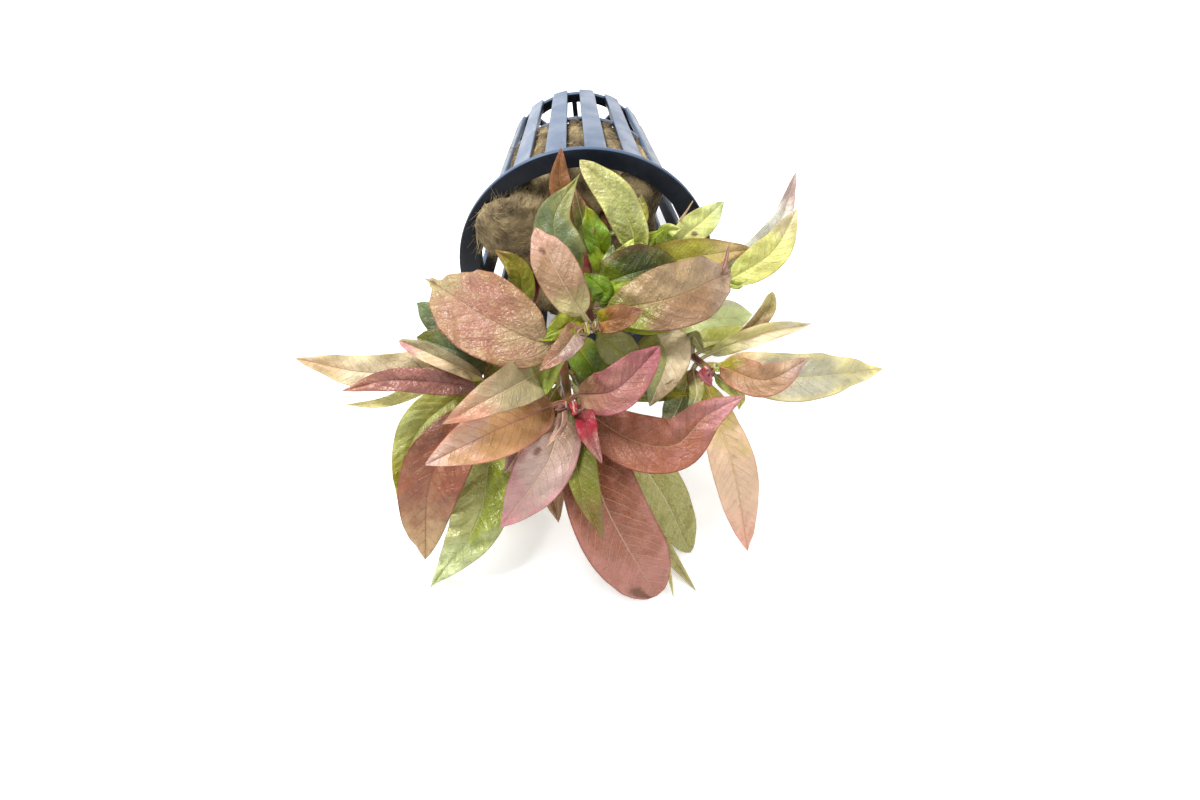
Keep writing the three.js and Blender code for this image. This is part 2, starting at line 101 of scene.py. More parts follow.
def share(name, text, default):
    """A share from 0 to 1 for the sidebar."""
    return bpy.props.FloatProperty(
        name=name, description=text, default=default, min=0, max=1, subtype="FACTOR")


def colour(name, text, code):
    """A colour for the sidebar."""
    return bpy.props.FloatVectorProperty(
        name=name, description=text, default=srgb(code), size=3, min=0, max=1, subtype="COLOR")


class PotSizes(bpy.types.PropertyGroup):
    """Sizes of the net pot."""
    wall: length("Wall", "Thickness of the ribs and the collar", 1.2 * MM)
    collar: length("Collar", "Height of the closed wall under the lip, lip included", 4 * MM)
    base: length("Base thickness", "Thickness of the open base", 1.4 * MM)
    base_ring: length("Base ring", "Width of the ring round the open base", 3 * MM)
    hub: length("Hub radius", "Radius of the base's middle disc", 4.5 * MM)
    spoke: length("Spoke width", "Width of the base's spokes", 1.2 * MM)
    hoop: length("Hoop height", "Height of the inner hoop over the base", 18.5 * MM)
    hoop_size: length("Hoop size", "Height of the inner hoop itself", 1.2 * MM)
    hoop_width: length("Hoop width", "Width of the inner hoop", 1 * MM)
    proud: length("Ribs over the ring", "How far the ribs stand over the base ring", 0.7 * MM)
    bevel: length("Edge rounding", "Radius of the moulded edges", 0.25 * MM)
    ribs: number("Ribs", "Ribs round the pot", 16)
    spokes: number("Spokes", "Spokes in the base", 8)


class WoolSizes(bpy.types.PropertyGroup):
    """Sizes of the rock wool plug and its fibres."""
    grain: length("Grain", "Size of the cells that the plug is remeshed with", 0.55 * MM)
    rough: length("Roughness", "Height of the plug's lumps", 1.5 * MM)
    fibre: length("Fibre length", "Mean length of a fibre", 4.5 * MM)
    fibre_width: length("Fibre width", "Thickness of a fibre", 0.13 * MM)
    fibres: number("Fibres", "Fibres on the plug", 9000)


class LeafSizes(bpy.types.PropertyGroup):
    """Sizes that all leaves share."""
    thickness: length("Leaf thickness", "Thickness of a blade", 0.45 * MM)
    stalk: length("Stalk width", "Width of a leaf's stalk", 1.1 * MM)
    vein_gap: length("Vein spacing", "Distance between two side veins", 2.6 * MM)
    midrib: length("Midrib", "Width of a midrib at its base", 0.5 * MM)
    glow: share("Light through", "Share of the light that a blade lets through", 0.3)


class PlantColours(bpy.types.PropertyGroup):
    """Colours of the leaves, the stems, the wool, the pot and the floor."""
    lime: colour("Lime", "Fresh yellow-green leaves", "889b10")
    bright_green: colour("Bright green", "Young green leaves", "5f7b14")
    leaf_green: colour("Leaf green", "Full green leaves", "7f8714")
    pale_lime: colour("Pale lime", "Light green tips", "b1b56c")
    # painted shade: a darker green for the leaves that lie in shade
    dark_green: colour("Dark green", "Leaves in the shade", "3f4714")
    olive_green: colour("Olive green", "Older green leaves", "7b7c1a")
    olive: colour("Olive", "Yellowish olive blades", "9c961c")
    olive_brown: colour("Olive brown", "Green turning brown", "836237")
    sage: colour("Sage", "Grey-green leaves", "68764a")
    pale_sage: colour("Pale sage", "Light grey-green leaves", "9d9b59")
    grey_green: colour("Grey green", "Wet pale green leaves", "b2bb87")
    # warm grey also paints the shade on the dark half of the folded pale leaf
    warm_grey: colour("Warm grey", "Grey halves of old leaves", "998e69")
    silver: colour("Silver", "Greyish mauve blades", "a8a593")
    yellow: colour("Yellow", "Yellow-green leaves", "c9cf6f")
    pale_yellow: colour("Pale yellow", "Almost white yellow leaves", "d8d67f")
    straw: colour("Straw", "Straw yellow blades", "cdc386")
    cream: colour("Cream", "Veins and pale undersides", "d9c9a6")
    bone: colour("Bone", "Bleached leaves", "d0d1c7")
    tan: colour("Tan", "Light brown blades", "c1a378")
    sand: colour("Sand", "Pinkish tan blades", "c4a98d")
    honey: colour("Honey", "Orange tan blades", "b58a57")
    orange: colour("Orange", "Orange-brown blades", "996631")
    rust: colour("Rust", "Rusty brown blades", "784b18")
    umber: colour("Umber", "Reddish dark blades", "6f442e")
    maroon: colour("Maroon", "Darkest red blades", "551c18")
    bronze: colour("Bronze", "Bronze blades", "a57f5c")
    salmon: colour("Salmon", "Salmon blades", "b87f66")
    light_salmon: colour("Light salmon", "Pale salmon tips", "cfa18c")
    peach: colour("Peach", "Light peach blades", "cbb391")
    rose: colour("Rose", "Deep pink blades", "a1585e")
    dusty_rose: colour("Dusty rose", "Greyish pink blades", "b0958b")
    pink: colour("Pink", "Pink blades", "b47d80")
    red_brown: colour("Red brown", "Red-brown blades", "8d5239")
    brick: colour("Brick", "Lighter red-brown blades", "a46c5f")
    crimson: colour("Crimson", "Youngest red leaves", "ae1f38")
    plum: colour("Plum", "Purplish blades", "8f5c5e")
    mauve: colour("Mauve", "Greyish purple blades", "93615e")
    copper: colour("Copper", "Dull coppery blades", "8c6254")
    stem: colour("Stem", "Maroon stems", "4f2422")
    stem_green: colour("Stem green", "Green parts of the stems", "6b6530")
    wool_light: colour("Light wool", "Dry rock wool", "ab9873")
    wool_dark: colour("Dark wool", "Wet rock wool", "382b1e")
    scar: colour("Scar", "Brown scars on the blades", "6e4324")
    pot: colour("Pot", "Blue-black plastic", "0d1420")
    # painted reflection: the paler blue stands in for the sky reflected on the pot's sides that
    # face up
    pot_painted_sky: colour("Pot sheen", "Sky on the sides that face up", "48586f")
    root: colour("Root", "Loose rootlets", "9a5028")
    floor: colour("Floor", "Plain pale floor", "f7f8fa")


# Stems: the points that each passes, its thickness where it leaves the wool and at its tip,
# in millimetres from the point under the mouth
@dataclass
class Stem:
    through: list
    thick: float
    thin: float
    nodes: int


STEMS = {
    "a": Stem([(0, 8, 29), (0, -14, 36), (0, -34, 43)], 3.0, 1.6, 4),
    "b": Stem([(-3, 8, 22), (-6, -24, 26), (-5, -49, 35)], 3.2, 1.8, 5),
    "c": Stem([(7, 8, 23), (15, -18, 26), (25, -39, 34)], 3.0, 1.6, 4),
    "d": Stem([(-9, 8, 21), (-16, -18, 23), (-22, -38, 28)], 3.0, 1.6, 4),
    "e": Stem([(5, 9, 35), (4, -3, 38), (4, -15, 38)], 2.4, 1.4, 3),
    "f": Stem([(12, 8, 26), (20, -4, 29), (30, -13, 31)], 2.6, 1.4, 3),
}
LIGHT_SIDE = (0, -0.6, 0.8)   # the way that the leaves' upper faces turn
STALK_PART = 0.06
STEM_GAP = 0.85               # how far from the stem's skin a leaf's own length begins
LINE_STEPS = 60               # places between two points of a smooth line


@dataclass
class Leaf:
    """One leaf. Lengths are in millimetres, angles in degrees, places as for the stems.

    Colours go from its base to its tip, and its left side is as seen on that way."""
    name: str
    stem: str
    at: float                 # share of the stem where it grows
    through: list             # the points that its midrib passes, the last at its tip
    width: float
    colours: str
    left: str = ""            # colours of its left half, where they differ
    edge: str = ""            # colour of a band along its margin
    vein: str = "cream"
    base: float = 0.62        # how slowly it widens from its base
    tip: float = 0.95         # how slowly it narrows to its tip
    tail: float = 0           # share of its length that is a thin crumpled tail
    stalk: float = STALK_PART # share of its length that is its stalk
    fold: float = 12          # how far each half stands up from the midrib
    wave: float = 0.45        # height of its margins' waves
    waves: float = 2.5        # waves along a margin
    quilt: float = 0.12       # height of the fields between its side veins
    blister: float = 0.35     # how blistered its skin is
    crumple: float = 0.35     # height of its large dents
    skew: float = 0           # share by which its left half is the wider one
    veins: float = 0.16       # how clearly its side veins show
    wet: float = 0.5
    light: float = 1          # factor on its colours
    scar: tuple = ()          # share along, share across and size of a brown scar
    slot: str = ""            # material slot, only for a leaf that no solid stands for


UPPER_LEAVES = [
    Leaf("salmon_upright", "a", 0.97, [(-6, -27, 51), (-11, -14, 53)], 9.5,
         "straw bronze light_salmon", vein="peach", tip=0.85, fold=10, light=0.9,
         scar=(0.72, -0.25, 0.07)),
    Leaf("small_right", "a", 1, [(5, -36, 48), (11, -33, 47)], 6, "orange rust bronze",
         left="olive orange brick", vein="salmon", fold=25, light=1.15),
    Leaf("small_left", "a", 1, [(-6, -43, 47), (-11, -46, 44)], 5.6, "salmon bronze salmon",
         left="olive_brown dusty_rose salmon", fold=18, blister=0.8, wet=1.2, light=0.95),
    Leaf("bronze", "a", 0.85, [(17, -28, 45), (31, -16, 40)], 14.5, "lime bronze sand",
         left="leaf_green tan sand", vein="honey", base=0.75, tip=0.8, quilt=0.2, blister=0.8,
         crumple=0.5, wet=0.9, light=0.9),
    Leaf("salmon_big", "a", 0.85,
         [(-9.5, -39, 44.5), (-20, -35, 47), (-30, -24, 44.5), (-36, -15, 40)], 17.8,
         "tan salmon straw", edge="honey", vein="tan", tip=0.8, tail=0.17, stalk=0.25,
         quilt=0.15, blister=1, crumple=0.45, wet=0.9, light=0.8),
    Leaf("sage_upright", "a", 0.55, [(-5, -17, 45), (-7, -10, 51), (-1, 1, 54)], 10.8,
         "leaf_green sage pale_sage", edge="pale_sage", vein="pale_sage", base=0.5, tip=1.4,
         fold=8, light=0.95),
    Leaf("lime_under", "a", 0.7, [(13, -29, 42), (22, -25, 38)], 11, "lime lime olive",
         vein="pale_lime", light=1.3),
    Leaf("lime_left", "a", 0.75, [(-8, -38, 40), (-10, -47, 37)], 7, "lime pale_lime lime",
         vein="pale_lime", wet=1, light=1.2),
    Leaf("dark_round", "a", 0.6, [(9, -18, 42), (20, -13, 40)], 12, "lime dark_green olive_green",
         edge="umber", vein="sage", light=1.1),
    Leaf("inner_olive", "a", 0.97, [(8, -33, 32), (13, -34, 28)], 8,
         "olive_green pale_sage olive", vein="olive", light=0.8),
]
MOUTH_LEAVES = [
    Leaf("brown_spear", "e", 0.5, [(-5, 0, 50), (-5, 6, 57)], 6, "sage orange red_brown",
         vein="honey", light=0.95),
    Leaf("yellow_top", "e", 0.95, [(10, -11, 43), (7.5, -5, 50), (-1, 3, 56)], 8.2,
         "leaf_green pale_lime straw", edge="pale_yellow", vein="yellow", tip=0.75, stalk=0.16,
         quilt=0.25, blister=0.8, wet=1.2),
    Leaf("round_green", "e", 0.5, [(11.5, -1, 42), (12.5, 3, 45)], 5,
         "bright_green olive olive_green", wet=1, light=1.2),
    Leaf("bright_a", "e", 0.85, [(2, -10, 46), (0, -5, 50)], 5.8, "lime bright_green olive_green",
         vein="lime", wave=0.8, light=1.5),
    Leaf("mouth_olive", "d", 0.4, [(-15, -9, 34), (-20, -5, 37)], 6,
         "bright_green olive_green olive_brown", vein="olive", light=1.4),
    Leaf("yellow_green", "f", 0.6, [(21, -5, 38), (26, -1, 40), (31, 3, 42)], 6.8,
         "pale_lime pale_lime grey_green", vein="pale_yellow", stalk=0.3, light=1.35,
         scar=(0.3, 0.3, 0.07)),
    Leaf("olive_long", "e", 0.95, [(23, -9, 37), (37, -5, 35)], 9, "olive_green olive tan",
         edge="rust", vein="pale_lime", light=1.2),
    Leaf("pale_sickle", "f", 0.9, [(43, 2, 34), (48, 12, 42)], 6, "pale_sage bone dusty_rose",
         vein="bone", fold=30, light=1.25),
    Leaf("yellow_right", "f", 1, [(41, -8, 37), (47, 1, 41)], 7.8, "yellow pale_yellow cream",
         vein="pale_yellow", light=0.95),
    Leaf("lime_mouth", "f", 0.5, [(18, -4, 40), (21, -4, 41)], 6, "lime lime pale_lime",
         vein="pale_lime", light=1.5),
]
RIGHT_LEAVES = [
    Leaf("sage_right", "c", 0.6, [(25, -24, 33), (36, -20, 30)], 10,
         "pale_sage grey_green grey_green", edge="silver", light=1.6),
    Leaf("green_flat", "c", 0.75, [(28, -29, 32), (37, -27, 32)], 6, "pale_lime yellow yellow",
         light=1.3),
    Leaf("folded_tan", "c", 0.9, [(36, -32, 37), (48, -27, 34.5)], 5, "pale_sage cream cream",
         left="pale_lime straw bone", fold=35, light=1.15),
    Leaf("curled_olive", "c", 0.85, [(33, -30, 35), (38, -26, 38), (39, -25, 43)], 4,
         "olive_green olive_brown straw", base=1.6, tip=0.7, fold=30, light=1.1),
    Leaf("pink_right", "c", 1, [(36, -47, 40), (45, -43, 42)], 7.5, "rust bronze dusty_rose",
         left="olive bronze sand", edge="salmon", vein="honey", light=1.1),
    Leaf("olive_far_right", "c", 0.95, [(41, -41, 33.5), (63, -35, 28)], 10.5, "tan silver straw",
         edge="straw", vein="straw", wave=0.8, waves=4, light=1.25),
    Leaf("pale_hanging", "c", 0.95, [(29, -54, 22), (33, -62, 0)], 9.5, "olive sand light_salmon",
         vein="tan", base=0.8, wet=0.8, light=1.35),
    Leaf("sage_middle", "c", 0.6, [(16, -37, 35), (12, -45, 30)], 11,
         "olive_green pale_sage sage", left="cream cream olive_brown", light=1.2),
    Leaf("dark_wet", "c", 0.9, [(17, -45, 26), (13, -48, 25)], 7, "pale_sage sage copper",
         blister=1, wet=1.2, light=1.5),
    Leaf("dark_olive", "b", 0.7, [(13, -41, 30), (21, -42, 30)], 6,
         "olive_brown dark_green olive", vein="olive", light=1.2),
]
FRONT_LEAVES = [
    Leaf("pink_upper", "b", 0.94, [(4.5, -51.5, 44), (14, -42, 46)], 9.5, "bronze brick rose",
         edge="rose", vein="plum", tip=0.8, fold=16, light=1.05),
    Leaf("curl_mauve", "b", 0.97,
         [(8.5, -57.5, 34), (16.5, -58.5, 34), (23, -54, 37.5), (31, -51, 40)], 11.8,
         "umber red_brown pink", edge="red_brown", vein="bronze", base=0.7, tip=1, wave=0.6,
         light=1.25),
    Leaf("crimson_small", "b", 1, [(-1, -62, 41), (1, -68, 41)], 4.5, "umber crimson brick",
         vein="rose", blister=0.1, light=0.75),
    Leaf("pink_lower", "b", 0.97, [(-10, -60, 31), (-20, -68, 20)], 11.8,
         "olive_brown dusty_rose pink", edge="pink", vein="peach", light=1.2,
         scar=(0.35, 0.5, 0.06)),
    Leaf("orange_left", "b", 0.95, [(-19, -55, 37), (-35, -61, 33)], 12, "rust honey dusty_rose",
         edge="salmon", vein="brick", wet=0.8, light=1.35),
    Leaf("salmon_left", "b", 0.7, [(-19, -52, 44.5), (-31, -56, 40)], 10,
         "pale_lime warm_grey salmon", vein="peach", wet=0.9, light=1.3),
    Leaf("red_big", "b", 0.85, [(2, -65, 22), (12.5, -73, 0)], 17, "copper red_brown brick",
         edge="brick", vein="sand", base=0.6, tip=0.5, quilt=0.2, veins=0.55, wet=0.7, light=1.35,
         scar=(0.93, 0.65, 0.09)),
    Leaf("green_bottom", "b", 0.97, [(-3, -65, 28), (1, -73, 22)], 7,
         "sage olive_green olive_brown", vein="pale_sage", fold=20, skew=0.3),
    Leaf("brown_beneath", "b", 0.72, [(-9, -54, 17), (-8, -60, 10)], 9, "copper bronze bronze",
         light=1.1),
    Leaf("maroon_under", "b", 0.77, [(-15, -53, 28), (-19, -57, 24)], 9, "olive umber copper"),
    Leaf("inner_green", "b", 0.5, [(1, -36, 31.5), (6, -43, 32)], 8,
         "olive_green bright_green olive_green", vein="olive", light=1.2),
    Leaf("sage_bottom", "b", 0.75, [(13, -55, 16), (20.5, -62, 0)], 10.8,
         "grey_green pale_sage pale_sage", tip=0.6, blister=1, wet=1.1, light=1.3),
    Leaf("floor_right", "b", 0.6, [(13, -60, 4.4), (21, -72, 0)], 6, "sage grey_green straw",
         edge="pale_yellow"),
]
LEFT_LEAVES = [
    Leaf("far_left", "d", 0.7, [(-46, -31, 27), (-65, -22, 22)], 8.5, "honey cream tan",
         edge="straw", vein="sand", wave=0.7, waves=4),
    Leaf("crimson_left", "d", 1, [(-42, -39, 34), (-53, -39, 31)], 5.5, "copper brick salmon",
         edge="brick", vein="plum", blister=0.8, wet=1.5),
    # painted shade: its right half is dark olive and grey for the shade on that side of the fold
    Leaf("pale_folded", "d", 0.95, [(-31, -34.5, 34.5), (-41, -28, 34)], 5,
         "olive_brown warm_grey warm_grey", left="pale_yellow peach pink", tip=0.6,
         fold=35, light=1.25),
    Leaf("dark_left_back", "d", 0.6, [(-32, -17.5, 28), (-38, -11, 27)], 9,
         "dark_green dark_green sage", vein="sage", light=1.15),
    Leaf("dark_left", "d", 0.8, [(-28, -30, 32), (-37.5, -24.5, 31)], 11.3,
         "olive_green sage olive_green", edge="umber", vein="sage", light=0.8),
    Leaf("sliver_left", "d", 0.55, [(-44, -34, 21), (-54, -34, 20)], 3.6,
         "grey_green grey_green straw", light=1.35),
    Leaf("green_curve", "d", 0.85, [(-37.5, -42.5, 21), (-42.5, -53, 9)], 9.3,
         "olive pale_lime olive", vein="pale_lime", quilt=0.3, veins=0.6, wet=1, light=1.2),
    Leaf("brown_big", "d", 0.95, [(-29, -47, 24.5), (-35, -54, 18), (-37, -63, 2)], 14,
         "umber red_brown tan", vein="copper", base=0.8, stalk=0.12, wet=0.7, light=1.1),
    Leaf("green_glossy", "d", 1, [(-25, -59, 11.2), (-36, -69, 0)], 13,
         "pale_lime pale_sage grey_green", left="pale_lime leaf_green grey_green",
         vein="grey_green", base=0.8, tip=1.15, quilt=0.35, blister=1, crumple=0.8, wet=1.5,
         light=1.25),
]
SMALL_LEAVES = [
    Leaf("olive_behind", "e", 0.7, [(0, -10, 45), (-1, -6, 48), (-2.5, 0, 51.5)], 4.2,
         "sage olive_green olive_brown", edge="brick", slot="leaf_olive"),
    Leaf("lime_round", "a", 0.9, [(-6, -36.5, 46), (-11, -39, 45.5)], 5.5,
         "olive olive_green lime", vein="pale_lime", light=1.3, slot="leaf_bright_green"),
    Leaf("tiny_dark", "c", 0.85, [(22, -31, 36), (24, -35, 35)], 2.6, "sage pale_sage pale_sage",
         slot="leaf_dark_green"),
    Leaf("lime_sliver", "c", 1, [(26, -39, 35), (30, -38, 35), (32, -38, 36)], 2,
         "lime pale_lime yellow", slot="leaf_bright_green"),
    Leaf("green_bit", "b", 0.5, [(11, -64, 8), (15, -69, 4), (16, -74, 1)], 4,
         "lime pale_lime pale_yellow", slot="leaf_bright_green"),
    Leaf("yellow_bit", "c", 1, [(31, -44, 31), (31, -45, 28)], 3, "lime yellow yellow",
         slot="leaf_yellow"),
    Leaf("bright_b", "e", 0.8, [(3, -14, 41), (0, -10, 44)], 4, "leaf_green lime bright_green",
         vein="lime", light=1.25, slot="leaf_bright_green"),
    Leaf("inner_shade", "b", 0.35, [(-7, -33, 27), (-4, -38, 29)], 7,
         "dark_green olive_green olive_brown", vein="olive", slot="leaf_dark_green"),
    Leaf("inner_left", "d", 0.7, [(-21, -32, 29), (-23, -36, 30)], 4,
         "dark_green olive_green olive_brown", vein="olive", slot="leaf_dark_green"),
    Leaf("blue_green", "e", 1, [(5, -15, 43), (5.5, -13, 46)], 3.6, "sage grey_green sage",
         vein="grey_green", light=1.2, slot="leaf_sage"),
    Leaf("bright_c", "a", 0.75, [(3, -24, 43), (-1, -21, 46)], 5,
         "bright_green bright_green bright_green", vein="lime", light=1.35,
         slot="leaf_bright_green"),
    Leaf("lime_small", "e", 0.9, [(8, -13, 43), (10, -11.5, 46)], 3.8, "lime lime yellow",
         vein="yellow", light=1.4, slot="leaf_bright_green"),
    Leaf("lime_two", "f", 0.4, [(13, -8, 42), (17, -7, 44)], 4.2, "lime lime lime", vein="yellow",
         light=1.3, slot="leaf_bright_green"),
    Leaf("pink_sliver", "a", 0.8, [(28, -18, 41), (31, -12, 45)], 2.4, "brick rose mauve",
         slot="leaf_pink"),
    Leaf("crimson_right", "c", 1, [(24, -45, 38), (24.5, -48, 40)], 2.4, "crimson rose rose",
         vein="rose", light=0.9, slot="leaf_crimson"),
    Leaf("young_pink", "b", 1, [(-7, -59, 42), (-10, -65, 43)], 2.2, "copper copper light_salmon",
         light=0.9, slot="leaf_pink"),
    Leaf("orange_sliver", "c", 0.75, [(18, -41, 34), (15, -42, 33)], 2, "tan orange orange",
         slot="leaf_brown"),
    Leaf("green_blade", "c", 0.9, [(22, -43, 31), (20, -46, 28)], 3.4,
         "olive_brown pale_sage sage", light=1.2, slot="leaf_bright_green"),
    Leaf("bud_a_left", "a", 1, [(-1, -38, 46), (-2.5, -39, 47)], 1.3, "olive_brown olive rust",
         light=0.9, slot="leaf_brown"),
    Leaf("bud_a_right", "a", 1, [(1, -37, 46), (1.8, -36, 47.5)], 1.2,
         "olive_green olive_brown rust", light=0.9, slot="leaf_brown"),
    Leaf("bud_b_left", "b", 1, [(-6, -52, 39), (-8, -54, 41)], 1.6, "crimson maroon rose",
         slot="leaf_crimson"),
    Leaf("bud_b_right", "b", 1, [(-4, -53, 39), (-3, -55, 42)], 1.6, "crimson crimson rose",
         slot="leaf_crimson"),
    Leaf("bud_c_left", "c", 1, [(25, -42, 37), (24, -44, 39)], 1.6, "crimson maroon rose",
         slot="leaf_crimson"),
    Leaf("bud_d_left", "d", 1, [(-23, -42, 31), (-25, -44, 33)], 1.8, "lime olive tan",
         slot="leaf_olive"),
    Leaf("bud_f_right", "f", 1, [(33, -15, 34), (35, -15, 36)], 1.8, "lime lime yellow",
         slot="leaf_yellow"),
]
SLOTS = {row["node"]: row["material_slot"] for row in frame["record"]["subparts"]}


# Lines through space

def smooth_line(points):
    """Many places along a smooth line through the points."""
    knots = np.array(points, float)
    knots = np.vstack([2 * knots[0] - knots[1], knots, 2 * knots[-1] - knots[-2]])
    places = []
    for p0, p1, p2, p3 in zip(knots, knots[1:], knots[2:], knots[3:]):
        t1 = np.linalg.norm(p1 - p0) ** 0.5
        t2 = t1 + np.linalg.norm(p2 - p1) ** 0.5
        t3 = t2 + np.linalg.norm(p3 - p2) ** 0.5
        t = np.linspace(t1, t2, LINE_STEPS, endpoint=False)[:, None]
        a1 = (t1 - t) / t1 * p0 + t / t1 * p1
        a2 = (t2 - t) / (t2 - t1) * p1 + (t - t1) / (t2 - t1) * p2
        a3 = (t3 - t) / (t3 - t2) * p2 + (t - t2) / (t3 - t2) * p3
        b1 = (t2 - t) / t2 * a1 + t / t2 * a2
        b2 = (t3 - t) / (t3 - t1) * a2 + (t - t1) / (t3 - t1) * a3
        places.append((t2 - t) / (t2 - t1) * b1 + (t - t1) / (t2 - t1) * b2)
    places.append(knots[-2:-1])
    return np.vstack(places)


def line_length(line):
    return float(np.linalg.norm(np.diff(line, axis=0), axis=1).sum())


def walk(line, shares, by_length=True):
    """Places and directions at shares of a line."""
    steps = np.linalg.norm(np.diff(line, axis=0), axis=1)
    if not by_length:
        steps = np.ones(len(steps))
    ruler = np.concatenate([[0], np.cumsum(steps)])
    ruler = ruler / ruler[-1]
    shares = np.asarray(shares, float)

    def place(at):
        return np.stack([np.interp(at, ruler, line[:, k]) for k in range(3)], axis=-1)

    near = 0.02
    direction = place(np.clip(shares + near, 0, 1)) - place(np.clip(shares - near, 0, 1))
    direction /= np.linalg.norm(direction, axis=-1, keepdims=True)
    return place(shares), direction


def ease(value, low, high):
    """0 below low, 1 above high, and smooth between."""
    part = np.clip((value - low) / (high - low), 0, 1)
    return part * part * (3 - 2 * part)


def between(value, low, full, fading, high):
    """1 from full to fading, 0 below low and above high, and smooth between."""
    return ease(value, low, full) * (1 - ease(value, fading, high))


# Objects

def select_only(*pieces):
    bpy.ops.object.select_all(action="DESELECT")
    for one in pieces:
        one.select_set(True)
        bpy.context.view_layer.objects.active = one


def edit(piece):
    select_only(piece)
    bpy.ops.object.mode_set(mode="EDIT")
    bpy.ops.mesh.select_all(action="SELECT")


def leave_edit():
    bpy.ops.object.mode_set(mode="OBJECT")


def new_piece(name):
    """The object that the last operator added, under its own name."""
    piece = bpy.context.active_object
    piece.name = name
    piece.data.name = name
    return piece


def apply_modifier(piece, kind, **settings):
    select_only(piece)
    modifier = piece.modifiers.new(kind.lower(), kind)
    for key, value in settings.items():
        setattr(modifier, key, value)
    bpy.ops.object.modifier_apply(modifier=modifier.name)


def corners(mesh):
    """A mesh's places as rows of x, y and z."""
    places = np.empty(len(mesh.vertices) * 3, np.float32)
    mesh.vertices.foreach_get("co", places)
    return places.reshape(-1, 3).astype(float)


def set_corners(mesh, places):
    mesh.vertices.foreach_set("co", np.asarray(places, np.float32).ravel())
    mesh.update()


def corner_normals(mesh):
    normals = np.empty(len(mesh.vertices) * 3, np.float32)
    mesh.vertices.foreach_get("normal", normals)
    return normals.reshape(-1, 3).astype(float)


def keep_vector(mesh, name, rows):
    """A vector for each corner, which the material reads."""
    attribute = mesh.attributes.new(name, "FLOAT_VECTOR", "POINT")
    attribute.data.foreach_set("vector", np.asarray(rows, np.float32).ravel())


def into_place(piece, matrix):
    """Puts the piece where the matrix says, and its place into its mesh."""
    piece.matrix_world = matrix
    select_only(piece)
    bpy.ops.object.transform_apply(location=True, rotation=True, scale=True)


def hand_over(piece, material, slot, *nodes):
    """Gives a finished piece its material and its part in the frame."""
    piece.data.materials.clear()
    piece.data.materials.append(material)
    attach(piece, "root")
    if nodes:
        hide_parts(*nodes)


# Materials

class Wires:
    """A material's nodes, added and joined in short lines."""

    def __init__(self, name):
        self.material = bpy.data.materials.new(name)
        self.material.use_nodes = True
        self.tree = self.material.node_tree
        self.tree.nodes.clear()
        self.output = self.tree.nodes.new("ShaderNodeOutputMaterial")

    def add(self, kind, inputs=None, **settings):
        node = self.tree.nodes.new(kind)
        for key, value in settings.items():
            setattr(node, key, value)
        for key, value in (inputs or {}).items():
            self.feed(node.inputs[key], value)
        return node

    def feed(self, socket, value):
        if isinstance(value, bpy.types.NodeSocket):
            self.tree.links.new(value, socket)
        elif socket.type == "RGBA":
            socket.default_value = (*value, 1)
        else:
            socket.default_value = value

    def math(self, operation, first, second=0.0):
        return self.add("ShaderNodeMath", {0: first, 1: second}, operation=operation).outputs[0]

    def smooth(self, value, low, high, to_low=0.0, to_high=1.0):
        node = self.add("ShaderNodeMapRange", {
            "Value": value, "From Min": low, "From Max": high, "To Min": to_low, "To Max": to_high},
            interpolation_type="SMOOTHSTEP")
        return node.outputs[0]

    def mix(self, part, first, second):
        node = self.add("ShaderNodeMix", data_type="RGBA", clamp_factor=True)
        self.feed(node.inputs[0], part)
        self.feed(node.inputs[6], first)
        self.feed(node.inputs[7], second)
        return node.outputs[2]

    def noise(self, place, scale, detail=2.0, rough=0.5):
        node = self.add("ShaderNodeTexNoise", {
            "Vector": place, "Scale": scale, "Detail": detail, "Roughness": rough})
        return node.outputs["Fac"]

    def here(self):
        return self.add("ShaderNodeTexCoord").outputs["Object"]

    def vector(self, name):
        """The three numbers that the mesh holds under a name."""
        attribute = self.add("ShaderNodeAttribute", attribute_name=name)
        parts = self.add("ShaderNodeSeparateXYZ", {0: attribute.outputs["Vector"]})
        return parts.outputs[0], parts.outputs[1], parts.outputs[2]

    def bump(self, height, strength, distance):
        return self.add("ShaderNodeBump", {
            "Height": height, "Strength": strength, "Distance": distance}).outputs[0]

    def close(self, shader):
        self.tree.links.new(shader, self.output.inputs["Surface"])
        return self.material


def lit(tint, factor):
    """A colour made lighter or darker."""
    return [min(1, part * factor) for part in tint]


def shades(colours, names, light):
    """Three colours from their names, each by a factor, the last one repeated."""
    found = [lit(getattr(colours, one), light) for one in names.split()]
    return (found + found[-1:] * 2)[:3]


def along_blade(w, moved, three):
    """Colours from the base to the tip, which run into each other."""
    tint = w.mix(w.smooth(moved, 0.0, 0.4), three[0], three[1])
    return w.mix(w.smooth(moved, 0.5, 0.95), tint, three[2])


def blade_tint(w, leaf, colours, along, across, drift, dapple):
    """The blade's colours from base to tip, the band along its margin and its dapples."""
    three = shades(colours, leaf.colours, leaf.light)
    moved = w.math("ADD", along, drift)
    tint = along_blade(w, moved, three)
    if leaf.left:
        left = w.smooth(w.math("ADD", across, w.math("MULTIPLY", drift, 0.5)), 0.06, -0.06)
        tint = w.mix(left, tint, along_blade(w, moved, shades(colours, leaf.left, leaf.light)))
    if leaf.edge:
        near_edge = w.math("ADD", w.math("ABSOLUTE", across), drift)
        band = shades(colours, leaf.edge, leaf.light)[0]
        tint = w.mix(w.smooth(near_edge, 0.62, 1.0, 0, 0.7), tint, band)
    tint = w.mix(w.smooth(dapple, 0.5, 0.72, 0, 0.42), tint, lit(three[1], 0.55))
    return w.mix(w.smooth(dapple, 0.48, 0.25, 0, 0.35), tint, lit(three[2], 1.3))


